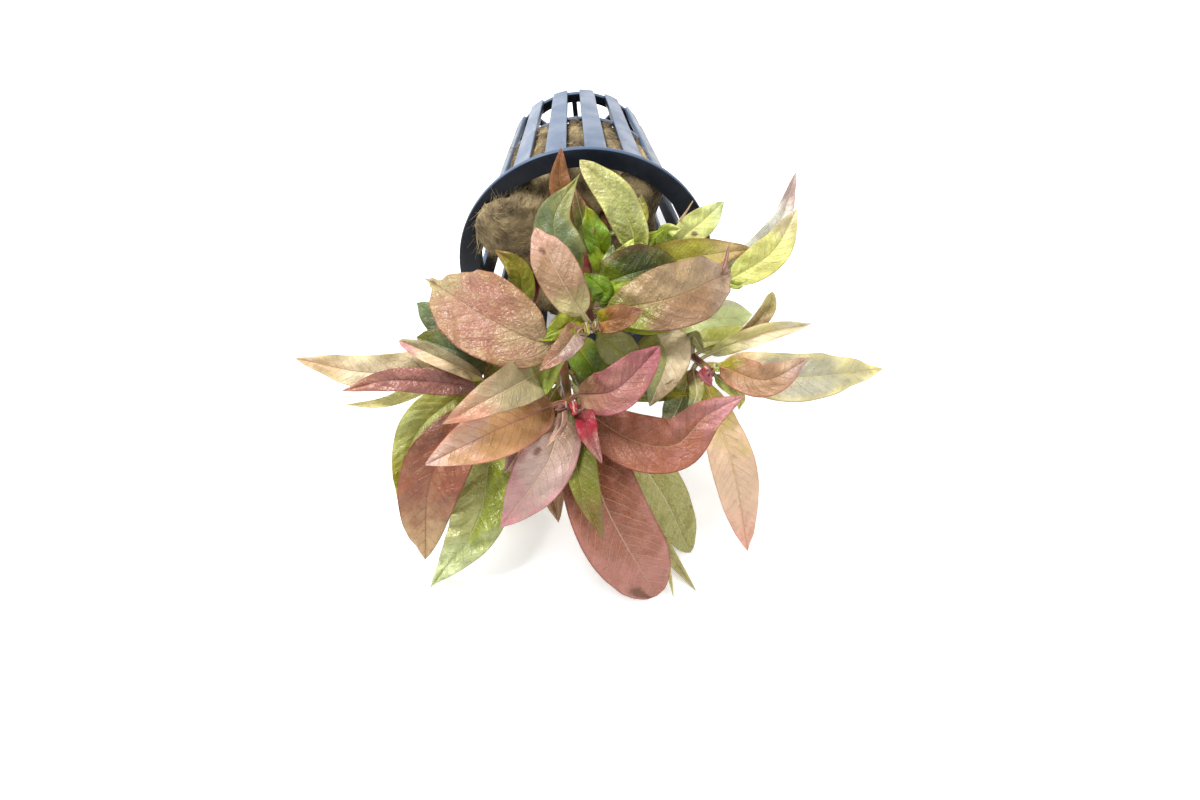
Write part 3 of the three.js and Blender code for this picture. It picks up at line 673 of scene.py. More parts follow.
def vein_lines(w, sizes, along, across):
    """Where the side veins, midrib and fine net are, and the place on the flat blade in mm.

    The side veins leave the midrib in turn to the left and to the right."""
    count, mm_along, mm_across = w.vector("veins")
    stagger = w.math("MULTIPLY", w.math("GREATER_THAN", across, 0.0), 0.5)
    turn = w.math("FRACT", w.math("ADD", count, stagger))
    line = w.math("MULTIPLY", w.math("ABSOLUTE", w.math("SUBTRACT", turn, 0.5)), 2.0)
    inside = w.smooth(w.math("ABSOLUTE", across), 0.97, 0.65)
    side_vein = w.math("MULTIPLY", w.smooth(line, 0.87, 0.99), inside)
    rib_half = w.math("MULTIPLY_ADD", along, -0.3 * sizes.midrib / MM)
    rib_half.node.inputs[2].default_value = 0.4 * sizes.midrib / MM
    midrib = w.smooth(w.math("SUBTRACT", w.math("ABSOLUTE", mm_across), rib_half), 0.1, -0.08)
    flat_place = w.add("ShaderNodeCombineXYZ", {0: mm_along, 1: mm_across}).outputs[0]
    net = w.add("ShaderNodeTexVoronoi", {"Vector": flat_place, "Scale": 0.95},
                feature="DISTANCE_TO_EDGE").outputs["Distance"]
    return side_vein, midrib, w.smooth(net, 0.12, 0.02), flat_place


def blistered_skin(w, leaf, here, flat_place, side_vein, midrib, net_line):
    """Normals of a blistered skin with fine grain and its veins pressed in."""
    blisters = w.add(
        "ShaderNodeTexVoronoi", {"Vector": flat_place, "Scale": 1.5, "Smoothness": 0.5},
        feature="SMOOTH_F1").outputs["Distance"]
    grain = w.noise(here, 2600, 3, 0.6)
    height = w.math("ADD", w.math("MULTIPLY", grain, 0.7), w.math("MULTIPLY", net_line, -0.25))
    height = w.math("ADD", height, w.math("MULTIPLY", blisters, -1.5 * leaf.blister))
    height = w.math("ADD", height, w.math("MULTIPLY", side_vein, -0.7))
    height = w.math("ADD", height, w.math("MULTIPLY", midrib, -0.7))
    return w.bump(height, 0.8, 0.2 * MM)


def leaf_material(leaf, sizes, colours):
    """A wet blade: its colours, veins, margin and scar, blistered skin and light through it."""
    w = Wires(leaf.name)
    along, across, upper = w.vector("leaf")
    here = w.here()
    drift = w.math("MULTIPLY", w.math("SUBTRACT", w.noise(here, 110, 4, 0.6), 0.5), 0.9)
    dapple = w.noise(here, 380, 5, 0.65)
    side_vein, midrib, net_line, flat_place = vein_lines(w, sizes, along, across)

    tint = blade_tint(w, leaf, colours, along, across, drift, dapple)
    vein = shades(colours, leaf.vein, leaf.light)[0]
    tint = w.mix(w.math("MULTIPLY", net_line, 0.09), tint, vein)
    tint = w.mix(w.math("MULTIPLY", side_vein, leaf.veins), tint, vein)
    tint = w.mix(w.math("MULTIPLY", midrib, 0.7), tint, vein)
    near_rim = w.math("ADD", w.math("ABSOLUTE", across), w.math("MULTIPLY", drift, 0.05))
    middle = shades(colours, leaf.colours, leaf.light)[1]
    red_rim = [c * k for c, k in zip(middle, (0.75, 0.45, 0.4))]
    tint = w.mix(w.smooth(near_rim, 0.93, 0.99, 0, 0.55), tint, red_rim)
    if leaf.scar:
        tint = w.mix(scar_spot(w, leaf.scar, along, across, dapple), tint, colours.scar)
    tint = w.mix(w.smooth(upper, 0.1, -0.1, 0, 0.3), tint, colours.cream)

    normal = blistered_skin(w, leaf, here, flat_place, side_vein, midrib, net_line)
    film = w.noise(here, 260, 4, 0.6)
    dry = max(0.3, 0.58 - 0.2 * leaf.wet)
    rough = w.smooth(film, 0.64 - 0.14 * leaf.wet, 0.74, dry, 0.16)
    blade = w.add("ShaderNodeBsdfPrincipled", {
        "Base Color": tint, "Roughness": rough, "Normal": normal, "Coat Normal": normal,
        "Coat Weight": 0.3 * leaf.wet, "Coat Roughness": 0.12})
    through = w.add("ShaderNodeBsdfTranslucent", {"Color": tint, "Normal": normal})
    mixed = w.add("ShaderNodeMixShader", {
        0: sizes.glow, 1: blade.outputs[0], 2: through.outputs[0]})
    return w.close(mixed.outputs[0])


def scar_spot(w, scar, along, across, ragged):
    """How brown the blade is round its scar."""
    at_along, at_across, reach = scar
    off = w.math("SUBTRACT", along, at_along)
    out = w.math("MULTIPLY", w.math("SUBTRACT", across, at_across), 0.3)
    gap = w.math("SQRT", w.math("ADD", w.math("MULTIPLY", off, off), w.math("MULTIPLY", out, out)))
    gap = w.math("ADD", gap, w.math("MULTIPLY", w.math("SUBTRACT", ragged, 0.5), 0.16))
    return w.smooth(gap, reach, reach * 0.3, 0, 0.85)


def pot_material(colours):
    """Blue-black moulded plastic with a fine grain, paler where it faces up: a painted reflection
    of the sky.
    """
    w = Wires("pot_plastic")
    here = w.here()
    wear = w.noise(here, 130, 4, 0.6)
    _, _, up = w.vector("facing")
    # painted reflection: the sides that face up take the paler sky colour, and random worn patches
    # add a little of it too
    pale = w.math("ADD", w.smooth(up, 0.3, 0.75), w.smooth(wear, 0.5, 0.8, 0, 0.12))
    tint = w.mix(pale, colours.pot, colours.pot_painted_sky)
    grain = w.noise(here, 1800, 2)
    rough = w.smooth(wear, 0.3, 0.7, 0.3, 0.46)
    shader = w.add("ShaderNodeBsdfPrincipled", {
        "Base Color": tint, "Roughness": rough, "Specular IOR Level": 0.3,
        "Normal": w.bump(grain, 0.25, 0.05 * MM)})
    return w.close(shader.outputs[0])


def wool_material(name, colours, fibre):
    """Damp mineral fibre, darker where it is wet."""
    w = Wires(name)
    here = w.here()
    damp = w.noise(here, 85, 4, 0.6)
    tint = w.mix(w.smooth(damp, 0.38, 0.62), colours.wool_dark, colours.wool_light)
    strand = w.noise(here, 900, 5, 0.7)
    strand_tint = lit(colours.wool_light, 1.5 if fibre else 0.4)
    tint = w.mix(w.smooth(strand, 0.35, 0.7, 0, 0.5), tint, strand_tint)
    shader = w.add("ShaderNodeBsdfPrincipled", {
        "Base Color": tint, "Roughness": 0.85, "Specular IOR Level": 0.25,
        "Normal": w.bump(strand, 0.6, 0.6 * MM)})
    return w.close(shader.outputs[0])


def stem_material(colours):
    """Smooth maroon stem with green stretches and fine ridges."""
    w = Wires("stem_skin")
    here = w.here()
    patch = w.noise(here, 120, 3)
    tint = w.mix(w.smooth(patch, 0.45, 0.65), colours.stem, colours.stem_green)
    grain = w.noise(here, 1500, 3)
    tint = w.mix(w.smooth(grain, 0.4, 0.7, 0, 0.35), tint, colours.crimson)
    shader = w.add("ShaderNodeBsdfPrincipled", {
        "Base Color": tint, "Roughness": 0.35, "Normal": w.bump(grain, 0.3, 0.1 * MM),
        "Coat Weight": 0.2, "Coat Roughness": 0.15})
    return w.close(shader.outputs[0])


def root_material(colours):
    """Thin brown rootlet."""
    w = Wires("root_skin")
    patch = w.noise(w.here(), 700, 3)
    tint = w.mix(patch, colours.root, colours.cream)
    shader = w.add("ShaderNodeBsdfPrincipled", {"Base Color": tint, "Roughness": 0.4})
    return w.close(shader.outputs[0])


def floor_material(colours):
    """Plain pale floor."""
    w = Wires("pale_floor")
    shade = w.noise(w.here(), 3, 2)
    tint = w.mix(w.smooth(shade, 0.3, 0.7, 0, 0.3), colours.floor, lit(colours.floor, 0.98))
    shader = w.add("ShaderNodeBsdfPrincipled", {
        "Base Color": tint, "Roughness": 0.6,
        "Emission Color": (1, 1, 1), "Emission Strength": 0.3})
    return w.close(shader.outputs[0])


# Net pot, upright in its own frame

def wall_radius(height):
    straight = POT_HEIGHT - LIP_THICKNESS - BASE_CHAMFER
    return BASE_RADIUS + (MOUTH_RADIUS - BASE_RADIUS) * (height - BASE_CHAMFER) / straight


def turned_ring(name, outline):
    """A closed outline of radius and height pairs, spun once round."""
    bpy.ops.mesh.primitive_circle_add(vertices=len(outline), radius=MM)
    piece = new_piece(name)
    set_corners(piece.data, [(radius, 0, height) for radius, height in outline])
    edit(piece)
    bpy.ops.mesh.spin(steps=RING_STEPS, angle=2 * math.pi, center=(0, 0, 0), axis=(0, 0, 1))
    bpy.ops.mesh.select_all(action="SELECT")
    bpy.ops.mesh.remove_doubles(threshold=MM / 100)
    bpy.ops.mesh.normals_make_consistent(inside=False)
    leave_edit()
    return piece


def ribbed_wall(sizes):
    """The tapered wall with its windows cut out between the ribs."""
    top = POT_HEIGHT - LIP_THICKNESS / 2
    bpy.ops.mesh.primitive_cone_add(
        vertices=WALL_COLUMNS * sizes.ribs, radius1=wall_radius(0), radius2=wall_radius(top),
        depth=top, end_fill_type="NOTHING", location=(0, 0, top / 2))
    wall = new_piece("wall")
    bpy.ops.object.transform_apply(location=True, rotation=True, scale=True)
    step = 2 * math.pi / sizes.ribs
    into_place(wall, Matrix.Rotation(step / WALL_COLUMNS / 2 - FIRST_RIB, 4, "Z"))
    windows_end = POT_HEIGHT - sizes.collar
    edit(wall)
    bpy.ops.mesh.bisect(plane_co=(0, 0, windows_end), plane_no=(0, 0, 1))
    leave_edit()
    for polygon in wall.data.polygons:
        middle = polygon.center
        turn = math.atan2(middle.x, middle.y) - FIRST_RIB
        off_rib = abs((turn / step + 0.5) % 1 - 0.5)
        polygon.select = middle.z < windows_end and off_rib > RIB_SHARE / 2
    bpy.ops.object.mode_set(mode="EDIT")
    bpy.ops.mesh.delete(type="FACE")
    leave_edit()
    apply_modifier(wall, "SOLIDIFY", thickness=sizes.wall, offset=-1)
    return wall


def base_spoke(sizes, turn):
    reach = BASE_RADIUS - sizes.base_ring + MM
    bpy.ops.mesh.primitive_cube_add(size=1, location=(reach / 2, 0, sizes.base / 2))
    spoke = new_piece("spoke")
    bpy.ops.transform.resize(value=(reach, sizes.spoke, sizes.base * 0.96))
    bpy.ops.object.transform_apply(location=True, rotation=True, scale=True)
    into_place(spoke, Matrix.Rotation(math.pi / 2 - turn, 4, "Z"))
    return spoke


def pot_rings(sizes):
    """The lip with its collar, the ring round the open base and the hoop inside the ribs."""
    under_lip = POT_HEIGHT - LIP_THICKNESS
    collar = POT_HEIGHT - sizes.collar
    lip = turned_ring("lip", [
        (MOUTH_RADIUS - sizes.wall, POT_HEIGHT), (LIP_RADIUS, POT_HEIGHT),
        (LIP_RADIUS, under_lip), (wall_radius(under_lip) + MM / 10, under_lip),
        (wall_radius(collar) + MM / 20, collar), (wall_radius(collar) - sizes.wall, collar)])
    ring_edge = BASE_RADIUS - sizes.proud
    foot = turned_ring("foot", [
        (BASE_RADIUS - sizes.base_ring, 0), (ring_edge - MM / 4, 0), (ring_edge, MM / 4),
        (ring_edge, sizes.base), (BASE_RADIUS - sizes.base_ring, sizes.base)])
    outer = wall_radius(sizes.hoop) - 0.4 * MM
    inner = outer - sizes.hoop_width
    over_hoop = sizes.hoop + sizes.hoop_size
    hoop = turned_ring("hoop", [
        (inner, sizes.hoop), (outer, sizes.hoop), (outer, over_hoop), (inner, over_hoop)])
    return [lip, foot, hoop]


def base_hub(sizes):
    bpy.ops.mesh.primitive_cylinder_add(
        vertices=HUB_STEPS, radius=sizes.hub, depth=sizes.base, location=(0, 0, sizes.base / 2))
    hub = new_piece("hub")
    bpy.ops.object.transform_apply(location=True, rotation=True, scale=True)
    return hub


def build_pot(context):
    sizes = context.scene.pot_sizes
    rings = pot_rings(sizes)
    hub = base_hub(sizes)
    first = FIRST_RIB - math.pi / sizes.ribs
    turns = [first + 2 * math.pi * i / sizes.spokes for i in range(sizes.spokes)]
    spokes = [base_spoke(sizes, turn) for turn in turns]
    pieces = [ribbed_wall(sizes), *rings, hub, *spokes]
    for one in pieces:
        apply_modifier(
            one, "BEVEL", width=sizes.bevel, segments=3, limit_method="ANGLE",
            angle_limit=math.radians(40))
    select_only(*pieces)
    bpy.context.view_layer.objects.active = pieces[0]
    bpy.ops.object.join()
    pot = new_piece("moulded_net_pot")
    bpy.ops.object.shade_smooth_by_angle(angle=math.radians(35))
    into_place(pot, POT_PLACE)
    # the corner normals tell the material where to paint the sky's reflection
    keep_vector(pot.data, "facing", corner_normals(pot.data))
    hand_over(pot, pot_material(context.scene.plant_colours), SLOTS["net_pot"], "net_pot")


# Rock wool

# Where the plug leaves the wall and comes back to it, each as a start and an end, in degrees
# round the pot from its top to the right
RIGHT_GAP = (40, 62, 118, 135)
LEFT_GAP = (225, 240, 278, 290)
RIGHT_ROOM = 17.3 * MM    # how far the plug reaches from the pot's axis at its right
LEFT_ROOM = 18.4 * MM     # and at its left
BEHIND_RIB = 1.6 * MM     # how far it stays under the wall's outside behind a rib
IN_WINDOW = 0.7 * MM      # and in a window
INNER_END_DROP = 0.5 * MM
FIBRE_STEPS = 4


def lump_texture(name, size, depth):
    texture = bpy.data.textures.new(name, "CLOUDS")
    texture.noise_scale = size
    texture.noise_depth = depth
    return texture


def free_copy(solid, name):
    """A copy of a solid that has none of the frame's marks."""
    piece = solid.copy()
    piece.data = solid.data.copy()
    piece.parent = None
    for key in list(piece.keys()):
        del piece[key]
    bpy.context.scene.collection.objects.link(piece)
    piece.name = name
    return piece


def build_wool(context):
    """The plug, remeshed from its solid and roughened, under a mat of its own fibres."""
    sizes = context.scene.wool_sizes
    colours = context.scene.plant_colours
    plug = free_copy(frame["nodes"]["rock_wool"], "wool_plug")
    edit(plug)
    bpy.ops.mesh.remove_doubles(threshold=MM / 100)
    leave_edit()
    apply_modifier(plug, "REMESH", mode="VOXEL", voxel_size=sizes.grain, use_smooth_shade=True)
    apply_modifier(plug, "SMOOTH", factor=0.5, iterations=4)
    lumps = lump_texture("wool_lumps", size=5 * MM, depth=2)
    tufts = lump_texture("wool_tufts", size=1.4 * MM, depth=3)
    apply_modifier(plug, "DISPLACE", texture=lumps, strength=sizes.rough, mid_level=0.5)
    apply_modifier(plug, "DISPLACE", texture=tufts, strength=sizes.rough * 0.7, mid_level=0.5)
    fit_to_pot(plug, context.scene.pot_sizes)
    fibres = wool_fibres(plug, sizes)
    mat = wool_material("wool_mat", colours, fibre=False)
    hand_over(plug, mat, SLOTS["rock_wool"], "rock_wool")
    hand_over(fibres, wool_material("wool_fibre", colours, fibre=True), SLOTS["rock_wool"])


def pulled_in(places, turn):
    """Factors that pull the plug's right and left side off the wall, near the mouth."""
    height = places[:, 2]
    radius = np.hypot(places[:, 0], places[:, 1])
    near_mouth = between(height, 24 * MM, 30 * MM, 47 * MM, 49 * MM)
    right = between(turn, *RIGHT_GAP)
    left = between(turn, *LEFT_GAP)
    room = np.where(right > left, RIGHT_ROOM, LEFT_ROOM)
    part = np.maximum(right, left) * near_mouth
    shrunk = np.where(radius > room, room + (radius - room) * 0.15, radius)
    return 1 + (shrunk / np.maximum(radius, MM / 10) - 1) * part


def pressed_out(places, turn, pot):
    """Factors that press the plug into the upper windows and keep it inside the wall."""
    height = places[:, 2]
    off_rib = np.abs((turn - math.degrees(FIRST_RIB)) * pot.ribs / 360 % 1 - 0.5)
    in_window = ease(0.5 - off_rib, 0.3, 0.4) * (height < POT_HEIGHT - pot.collar - MM)
    wall = wall_radius(height) - (BEHIND_RIB - (BEHIND_RIB - IN_WINDOW) * in_window)
    radius = np.maximum(np.hypot(places[:, 0], places[:, 1]), MM / 10)
    upper = 1 - ease(np.abs((turn + 180) % 360 - 180), 55, 75)
    press = upper * ease(radius / wall, 0.7, 0.85) * (1 - ease(height, 44 * MM, 47 * MM))
    squeeze = np.where((radius > wall) & (height < 49 * MM), wall / radius, 1)
    return squeeze + (wall / radius - squeeze) * press


def fit_to_pot(plug, pot):
    """Fits the plug to the pot's wall and windows, with its inner end a little nearer the base."""
    to_pot = np.array(POT_PLACE.inverted())
    to_scene = np.array(POT_PLACE)
    places = corners(plug.data) @ to_pot[:3, :3].T + to_pot[:3, 3]
    turn = np.degrees(np.arctan2(places[:, 0], places[:, 1])) % 360
    places[:, :2] *= pulled_in(places, turn)[:, None]
    places[:, :2] *= pressed_out(places, turn, pot)[:, None]
    places[:, 2] -= (1 - ease(places[:, 2], 20.5 * MM, 23 * MM)) * INNER_END_DROP
    set_corners(plug.data, places @ to_scene[:3, :3].T + to_scene[:3, 3])


def strand_mesh(name, lines, widths):
    """Thin three-sided strands along rows of places, joined in one mesh."""
    count, steps, _ = lines.shape
    ahead = np.gradient(lines, axis=1)
    ahead /= np.linalg.norm(ahead, axis=2, keepdims=True) + 1e-9
    aside = np.cross(ahead, np.array([0.3, 0.5, 0.8]))
    aside /= np.linalg.norm(aside, axis=2, keepdims=True) + 1e-9
    third = np.cross(ahead, aside)
    taper = np.linspace(1, 0.25, steps)[None, :, None]
    radius = widths[:, None, None] * taper / 2
    places = np.stack([
        lines + radius * (math.cos(turn) * aside + math.sin(turn) * third)
        for turn in (0, 2 * math.pi / 3, 4 * math.pi / 3)], axis=2)
    first = (np.arange(count) * steps * 3)[:, None, None]
    ring = (np.arange(steps - 1) * 3)[None, :, None]
    side = np.arange(3)[None, None, :]
    nxt = (side + 1) % 3
    low = first + ring
    quads = np.stack([low + side, low + nxt, low + 3 + nxt, low + 3 + side], axis=-1)
    last = (steps - 1) * 3
    start_caps = np.stack([first[:, 0, 0] + 2, first[:, 0, 0] + 1, first[:, 0, 0]], axis=-1)
    end_caps = np.stack([first[:, 0, 0] + last + k for k in range(3)], axis=-1)
    mesh = bpy.data.meshes.new(name)
    mesh.from_pydata(
        places.reshape(-1, 3).tolist(), [],
        quads.reshape(-1, 4).tolist() + start_caps.tolist() + end_caps.tolist())
    mesh.update()
    piece = bpy.data.objects.new(name, mesh)
    bpy.context.scene.collection.objects.link(piece)
    return piece


def wool_fibres(plug, sizes):
    """Fibres that lie on the plug, most of them flat, some standing off it."""
    dice = np.random.default_rng(11)
    places, normals = corners(plug.data), corner_normals(plug.data)
    picks = dice.integers(0, len(places), sizes.fibres)
    start = places[picks]
    out = normals[picks]
    run = np.sin(start[:, [1, 2, 0]] / (4 * MM) + [0, 2, 4])
    run = run + np.sin(start[:, [2, 0, 1]] / (7 * MM) + [1, 3, 5])
    any_way = run + dice.normal(size=start.shape) * 0.45
    flat = any_way - (any_way * out).sum(1, keepdims=True) * out
    flat /= np.linalg.norm(flat, axis=1, keepdims=True)
    mouth_way = np.array(POT_PLACE.to_3x3() @ Vector((0, 0, 1)))
    depth = (start - np.array(POT_PLACE.translation)) @ mouth_way
    open_air = ease(depth, 42 * MM, 46 * MM)
    rise = dice.uniform(0.02, 0.12, (len(start), 1))
    rise = rise + open_air[:, None] * dice.uniform(0, 0.6, (len(start), 1)) ** 2
    way = flat + out * rise
    way /= np.linalg.norm(way, axis=1, keepdims=True)
    reach = sizes.fibre * dice.uniform(0.5, 1.4, (len(start), 1))
    bend = dice.normal(size=start.shape) * 0.35
    bend -= (bend * out).sum(1, keepdims=True) * out
    lines = []
    for i in range(FIBRE_STEPS):
        part = i / (FIBRE_STEPS - 1) - 0.3
        lines.append(start + reach * (way * part + bend * part * part - out * 0.12 * part * part))
    widths = sizes.fibre_width * dice.uniform(0.6, 1.4, len(start))
    return strand_mesh("wool_fibres", np.stack(lines, axis=1), widths)


# Stems

def tube(name, line, radii, sides):
    """A closed round tube along a line, from a curve with a width at each point."""
    select_only()
    curve = bpy.data.curves.new(name, "CURVE")
    curve.dimensions = "3D"
    curve.bevel_depth = 1
    curve.bevel_resolution = sides
    curve.use_fill_caps = True
    spline = curve.splines.new("POLY")
    spline.points.add(len(line) - 1)
    for point, place, radius in zip(spline.points, line, radii):
        point.co = (*place, 1)
        point.radius = radius
    piece = bpy.data.objects.new(name, curve)
    bpy.context.scene.collection.objects.link(piece)
    select_only(piece)
    bpy.ops.object.convert(target="MESH")
    piece = bpy.context.active_object
    edit(piece)
    bpy.ops.mesh.remove_doubles(threshold=MM / 1000)
    bpy.ops.mesh.normals_make_consistent(inside=False)
    leave_edit()
    bpy.ops.object.shade_smooth()
    return piece


def build_stems(context):
    skin = stem_material(context.scene.plant_colours)
    for name, stem in STEMS.items():
        shares = np.linspace(0, 1, 64)
        places, _ = walk(smooth_line(stem.through), shares, by_length=False)
        radii = (stem.thick + (stem.thin - stem.thick) * shares) / 2
        knots = np.cos(math.pi * shares * stem.nodes) ** 2
        radii = radii * (0.94 + 0.2 * knots ** 6)
        radii = radii * (1 - ease(shares, 0.97, 1.0) * 0.6)
        piece = tube(f"stem_skin_{name}", places * MM + np.array(MOUTH), radii * MM, 6)
        hand_over(piece, skin, SLOTS[f"stem_{name}"], f"stem_{name}")


# Leaves

def flat_leaf(name, along, across):
    """A closed plate of unit length and half width, which each leaf is bent from."""
    select_only()
    bpy.ops.mesh.primitive_grid_add(x_subdivisions=along, y_subdivisions=across, size=2)
    plate = new_piece(name)
    edit(plate)
    bpy.ops.transform.translate(value=(1, 0, 0))
    bpy.ops.transform.resize(value=(0.5, 1, 1), center_override=(0, 0, 0))
    leave_edit()
    apply_modifier(plate, "SOLIDIFY", thickness=1, offset=0)
    bpy.ops.object.shade_smooth()
    return plate


def blade_shape(along, base, tip):
    """Half width of a blade as a share of its widest, from its base to its tip."""
    inside = np.clip(along, 1e-6, 1 - 1e-6)
    widest = base / (base + tip)
    shape = (inside / widest) ** base * ((1 - inside) / (1 - widest)) ** tip
    return np.where((along <= 0) | (along >= 1), 0, shape)


def leaf_line(leaf):
    """The leaf's middle line, from inside its stem, and the share that lies in the stem."""
    stem = STEMS[leaf.stem]
    middle, along = walk(smooth_line(stem.through), leaf.at, by_length=False)
    out = np.array(leaf.through[0], float) - middle
    out -= out @ along * along
    out /= np.linalg.norm(out)
    radius = (stem.thick + (stem.thin - stem.thick) * leaf.at) / 2
    foot = middle + out * (radius + STEM_GAP)
    line = smooth_line([middle, foot, *leaf.through])
    return line, float(np.linalg.norm(foot - middle)) / line_length(line)


def stalk_half(leaf, sizes):
    """Half the width of a leaf's stalk in millimetres."""
    return sizes.stalk / MM / 2 * min(1, 0.45 + leaf.width / 14)


def half_width(blade, across, leaf, sizes, seed):
    """Half widths in millimetres of the stalk, the blade and its thin tail."""
    margin_way = np.where(across < 0, -1, 1)
    shape = blade_shape(blade / (1 - leaf.tail), leaf.base, leaf.tip)
    uneven = 1 + 0.03 * np.sin(9 * blade + seed * 1.7 + margin_way) + leaf.skew * -margin_way
    stalk = stalk_half(leaf, sizes) * (1 - ease(blade, 0.02, 0.3))
    half = leaf.width / 2 * shape * uneven + stalk + 0.05
    tail = 1.1 * ease(1 - blade, 0, leaf.tail + 0.01) * ease(blade, 0.6, 0.8) * (leaf.tail > 0)
    return np.maximum(half, tail)


def vein_count(blade_mm, side_mm, leaf, sizes):
    """Side veins up to each place. They bend towards the tip."""
    side_way = np.abs(side_mm)
    gap = sizes.vein_gap / MM * (0.55 + leaf.width / 30)
    return (blade_mm - 0.75 * side_way - side_way ** 2 / (1.1 * leaf.width)) / gap


def on_blade(blade):
    """1 on the blade and 0 on its stalk and at its tip."""
    return between(blade, 0.02, 0.12, 0.9, 1.0)


def blade_lift(blade, across, blade_mm, side_mm, count, leaf, seed):
    """How far the blade stands up: its fold, waves, dents, groove and the fields between veins."""
    off = np.abs(across)
    margin_way = np.where(across < 0, -1, 1)
    staggered = count + np.where(across < 0, 0.5, 0)
    field_height = 0.5 - 0.5 * np.cos(2 * math.pi * staggered)
    fields = leaf.quilt * field_height * between(off, 0.04, 0.3, 0.7, 1.0)
    wave = leaf.wave * off ** 3 * np.sin(2 * math.pi * leaf.waves * blade + 2.1 * margin_way + seed)
    dents = leaf.crumple * (
        np.sin(0.55 * blade_mm + seed) * np.cos(0.8 * side_mm + 2 * seed)
        + 0.5 * np.sin(1.1 * blade_mm - 0.9 * side_mm + 3 * seed)) * ease(off, 0.05, 0.6)
    groove = -0.16 * np.exp(-(side_mm / 0.5) ** 2)
    rounded = np.sqrt(side_mm ** 2 + 0.36) - 0.6
    fold = rounded * math.sin(math.radians(leaf.fold))
    return fold + (wave + dents + fields + groove) * on_blade(blade)


def blade_skin(blade, across, side_mm, face, leaf, sizes):
    """How far its upper and its under side stand off its middle, with the midrib below."""
    thin = sizes.thickness / MM
    stalk_thick = stalk_half(leaf, sizes) * 1.5
    thick = thin + (stalk_thick - thin) * (1 - ease(blade, -0.02, 0.1))
    thick = thick * (1 - 0.5 * ease(blade, 0.8, 1.0))
    rib = 0.45 * np.exp(-(side_mm / 0.42) ** 2) * (1 - 0.8 * blade) * on_blade(blade)
    skin = thick / 2 * np.sqrt(np.clip(1 - across ** 2, 0.06, 1))
    return np.where(face > 0, skin, -skin - rib)


def bend_leaf(flat, leaf, sizes, seed):
    """Places of a flat leaf's corners on the plant, and what its material reads, in millimetres."""
    share_along, across, face = flat[:, 0], -flat[:, 1], np.sign(flat[:, 2])
    line, hidden = leaf_line(leaf)
    stalk = hidden + (1 - hidden) * leaf.stalk
    blade = (share_along - stalk) / (1 - stalk)
    blade_mm = blade * (1 - stalk) * line_length(line)
    side_mm = across * half_width(blade, across, leaf, sizes, seed)
    count = vein_count(blade_mm, side_mm, leaf, sizes)
    height = blade_lift(blade, across, blade_mm, side_mm, count, leaf, seed)
    height += blade_skin(blade, across, side_mm, face, leaf, sizes)

    centre, ahead = walk(line, share_along)
    facing = np.array(LIGHT_SIDE, float)
    up = facing - (ahead @ facing)[:, None] * ahead
    up /= np.linalg.norm(up, axis=1, keepdims=True)
    side = np.cross(up, ahead)
    narrowed = (side_mm * math.cos(math.radians(leaf.fold)))[:, None]
    places = centre + side * -narrowed + up * height[:, None]
    return places, np.stack([blade, across, face], 1), np.stack([count, blade_mm, side_mm], 1)


def build_leaves(context, leaves, first_seed):
    sizes = context.scene.leaf_sizes
    colours = context.scene.plant_colours
    plates = {
        "large": flat_leaf("large_plate", 84, 36),
        "middling": flat_leaf("middling_plate", 60, 24),
        "small": flat_leaf("small_plate", 30, 12),
    }
    for seed, leaf in enumerate(leaves, first_seed):
        kind = "large" if leaf.width > 9 else "middling" if leaf.width > 4 else "small"
        plate = plates[kind]
        piece = plate.copy()
        piece.data = plate.data.copy()
        piece.name = f"{leaf.name}_leaf"
        bpy.context.scene.collection.objects.link(piece)
        places, shares, veins = bend_leaf(corners(plate.data), leaf, sizes, seed)
        set_corners(piece.data, places * MM + np.array(MOUTH))
        keep_vector(piece.data, "leaf", shares)
        keep_vector(piece.data, "veins", veins)
        material = leaf_material(leaf, sizes, colours)
        if leaf.slot:
            hand_over(piece, material, leaf.slot)
        else:
            node = f"leaf_{leaf.name}"
            hand_over(piece, material, SLOTS[node], node)
    for plate in plates.values():
        bpy.data.objects.remove(plate)


# Loose bits, in millimetres from the point under the mouth

ROOTLET = [(20.5, -2, 41), (22, -2, 44), (23.5, -1.5, 47)]
ROOTLET_RADII = (0.34, 0.1)


def build_loose_bits(context):
    """A short rootlet at the upper right of the mouth."""
    colours = context.scene.plant_colours
    places, _ = walk(smooth_line(ROOTLET), np.linspace(0, 1, 24))
    radii = np.linspace(*ROOTLET_RADII, 24)
    root = tube("rootlet", places * MM + np.array(MOUTH), radii * MM, 3)
    hand_over(root, root_material(colours), SLOTS["rock_wool"])


# Stage

LOOK_DOWN = math.radians(51)
LOOK_ASIDE = math.radians(2.25)
CAMERA_FROM_MOUTH = Vector((-8.9, -309.3, 359.3)) * MM


def build_stage(context):
    """Floor, daylight and the camera."""
    scene = context.scene
    select_only()
    bpy.ops.mesh.primitive_plane_add(size=6, location=(0, 0, 0))
    floor = new_piece("floor")
    floor.data.materials.append(floor_material(scene.plant_colours))
    world = bpy.data.worlds.new("daylight")
    world.use_nodes = True
    sky = world.node_tree.nodes["Background"]
    sky.inputs["Color"].default_value = (1, 1, 1, 1)
    sky.inputs["Strength"].default_value = 0.6
    scene.world = world
    add_light("window", place=(-0.35, 0.25, 0.75), size=0.4, power=13)
    add_light("fill", place=(0.5, -0.5, 0.6), size=0.6, power=3.5)
    add_camera(scene)
    scene.view_settings.view_transform = "Standard"


def add_light(name, place, size, power):
    """A square soft light that looks at the plant."""
    lamp = bpy.data.lights.new(name, "AREA")
    lamp.size = size
    lamp.energy = power
    light = bpy.data.objects.new(name, lamp)
    light.location = place
    way = Vector((0, 0, 0.02)) - Vector(place)
    light.rotation_euler = way.to_track_quat("-Z", "Y").to_euler()
    bpy.context.scene.collection.objects.link(light)


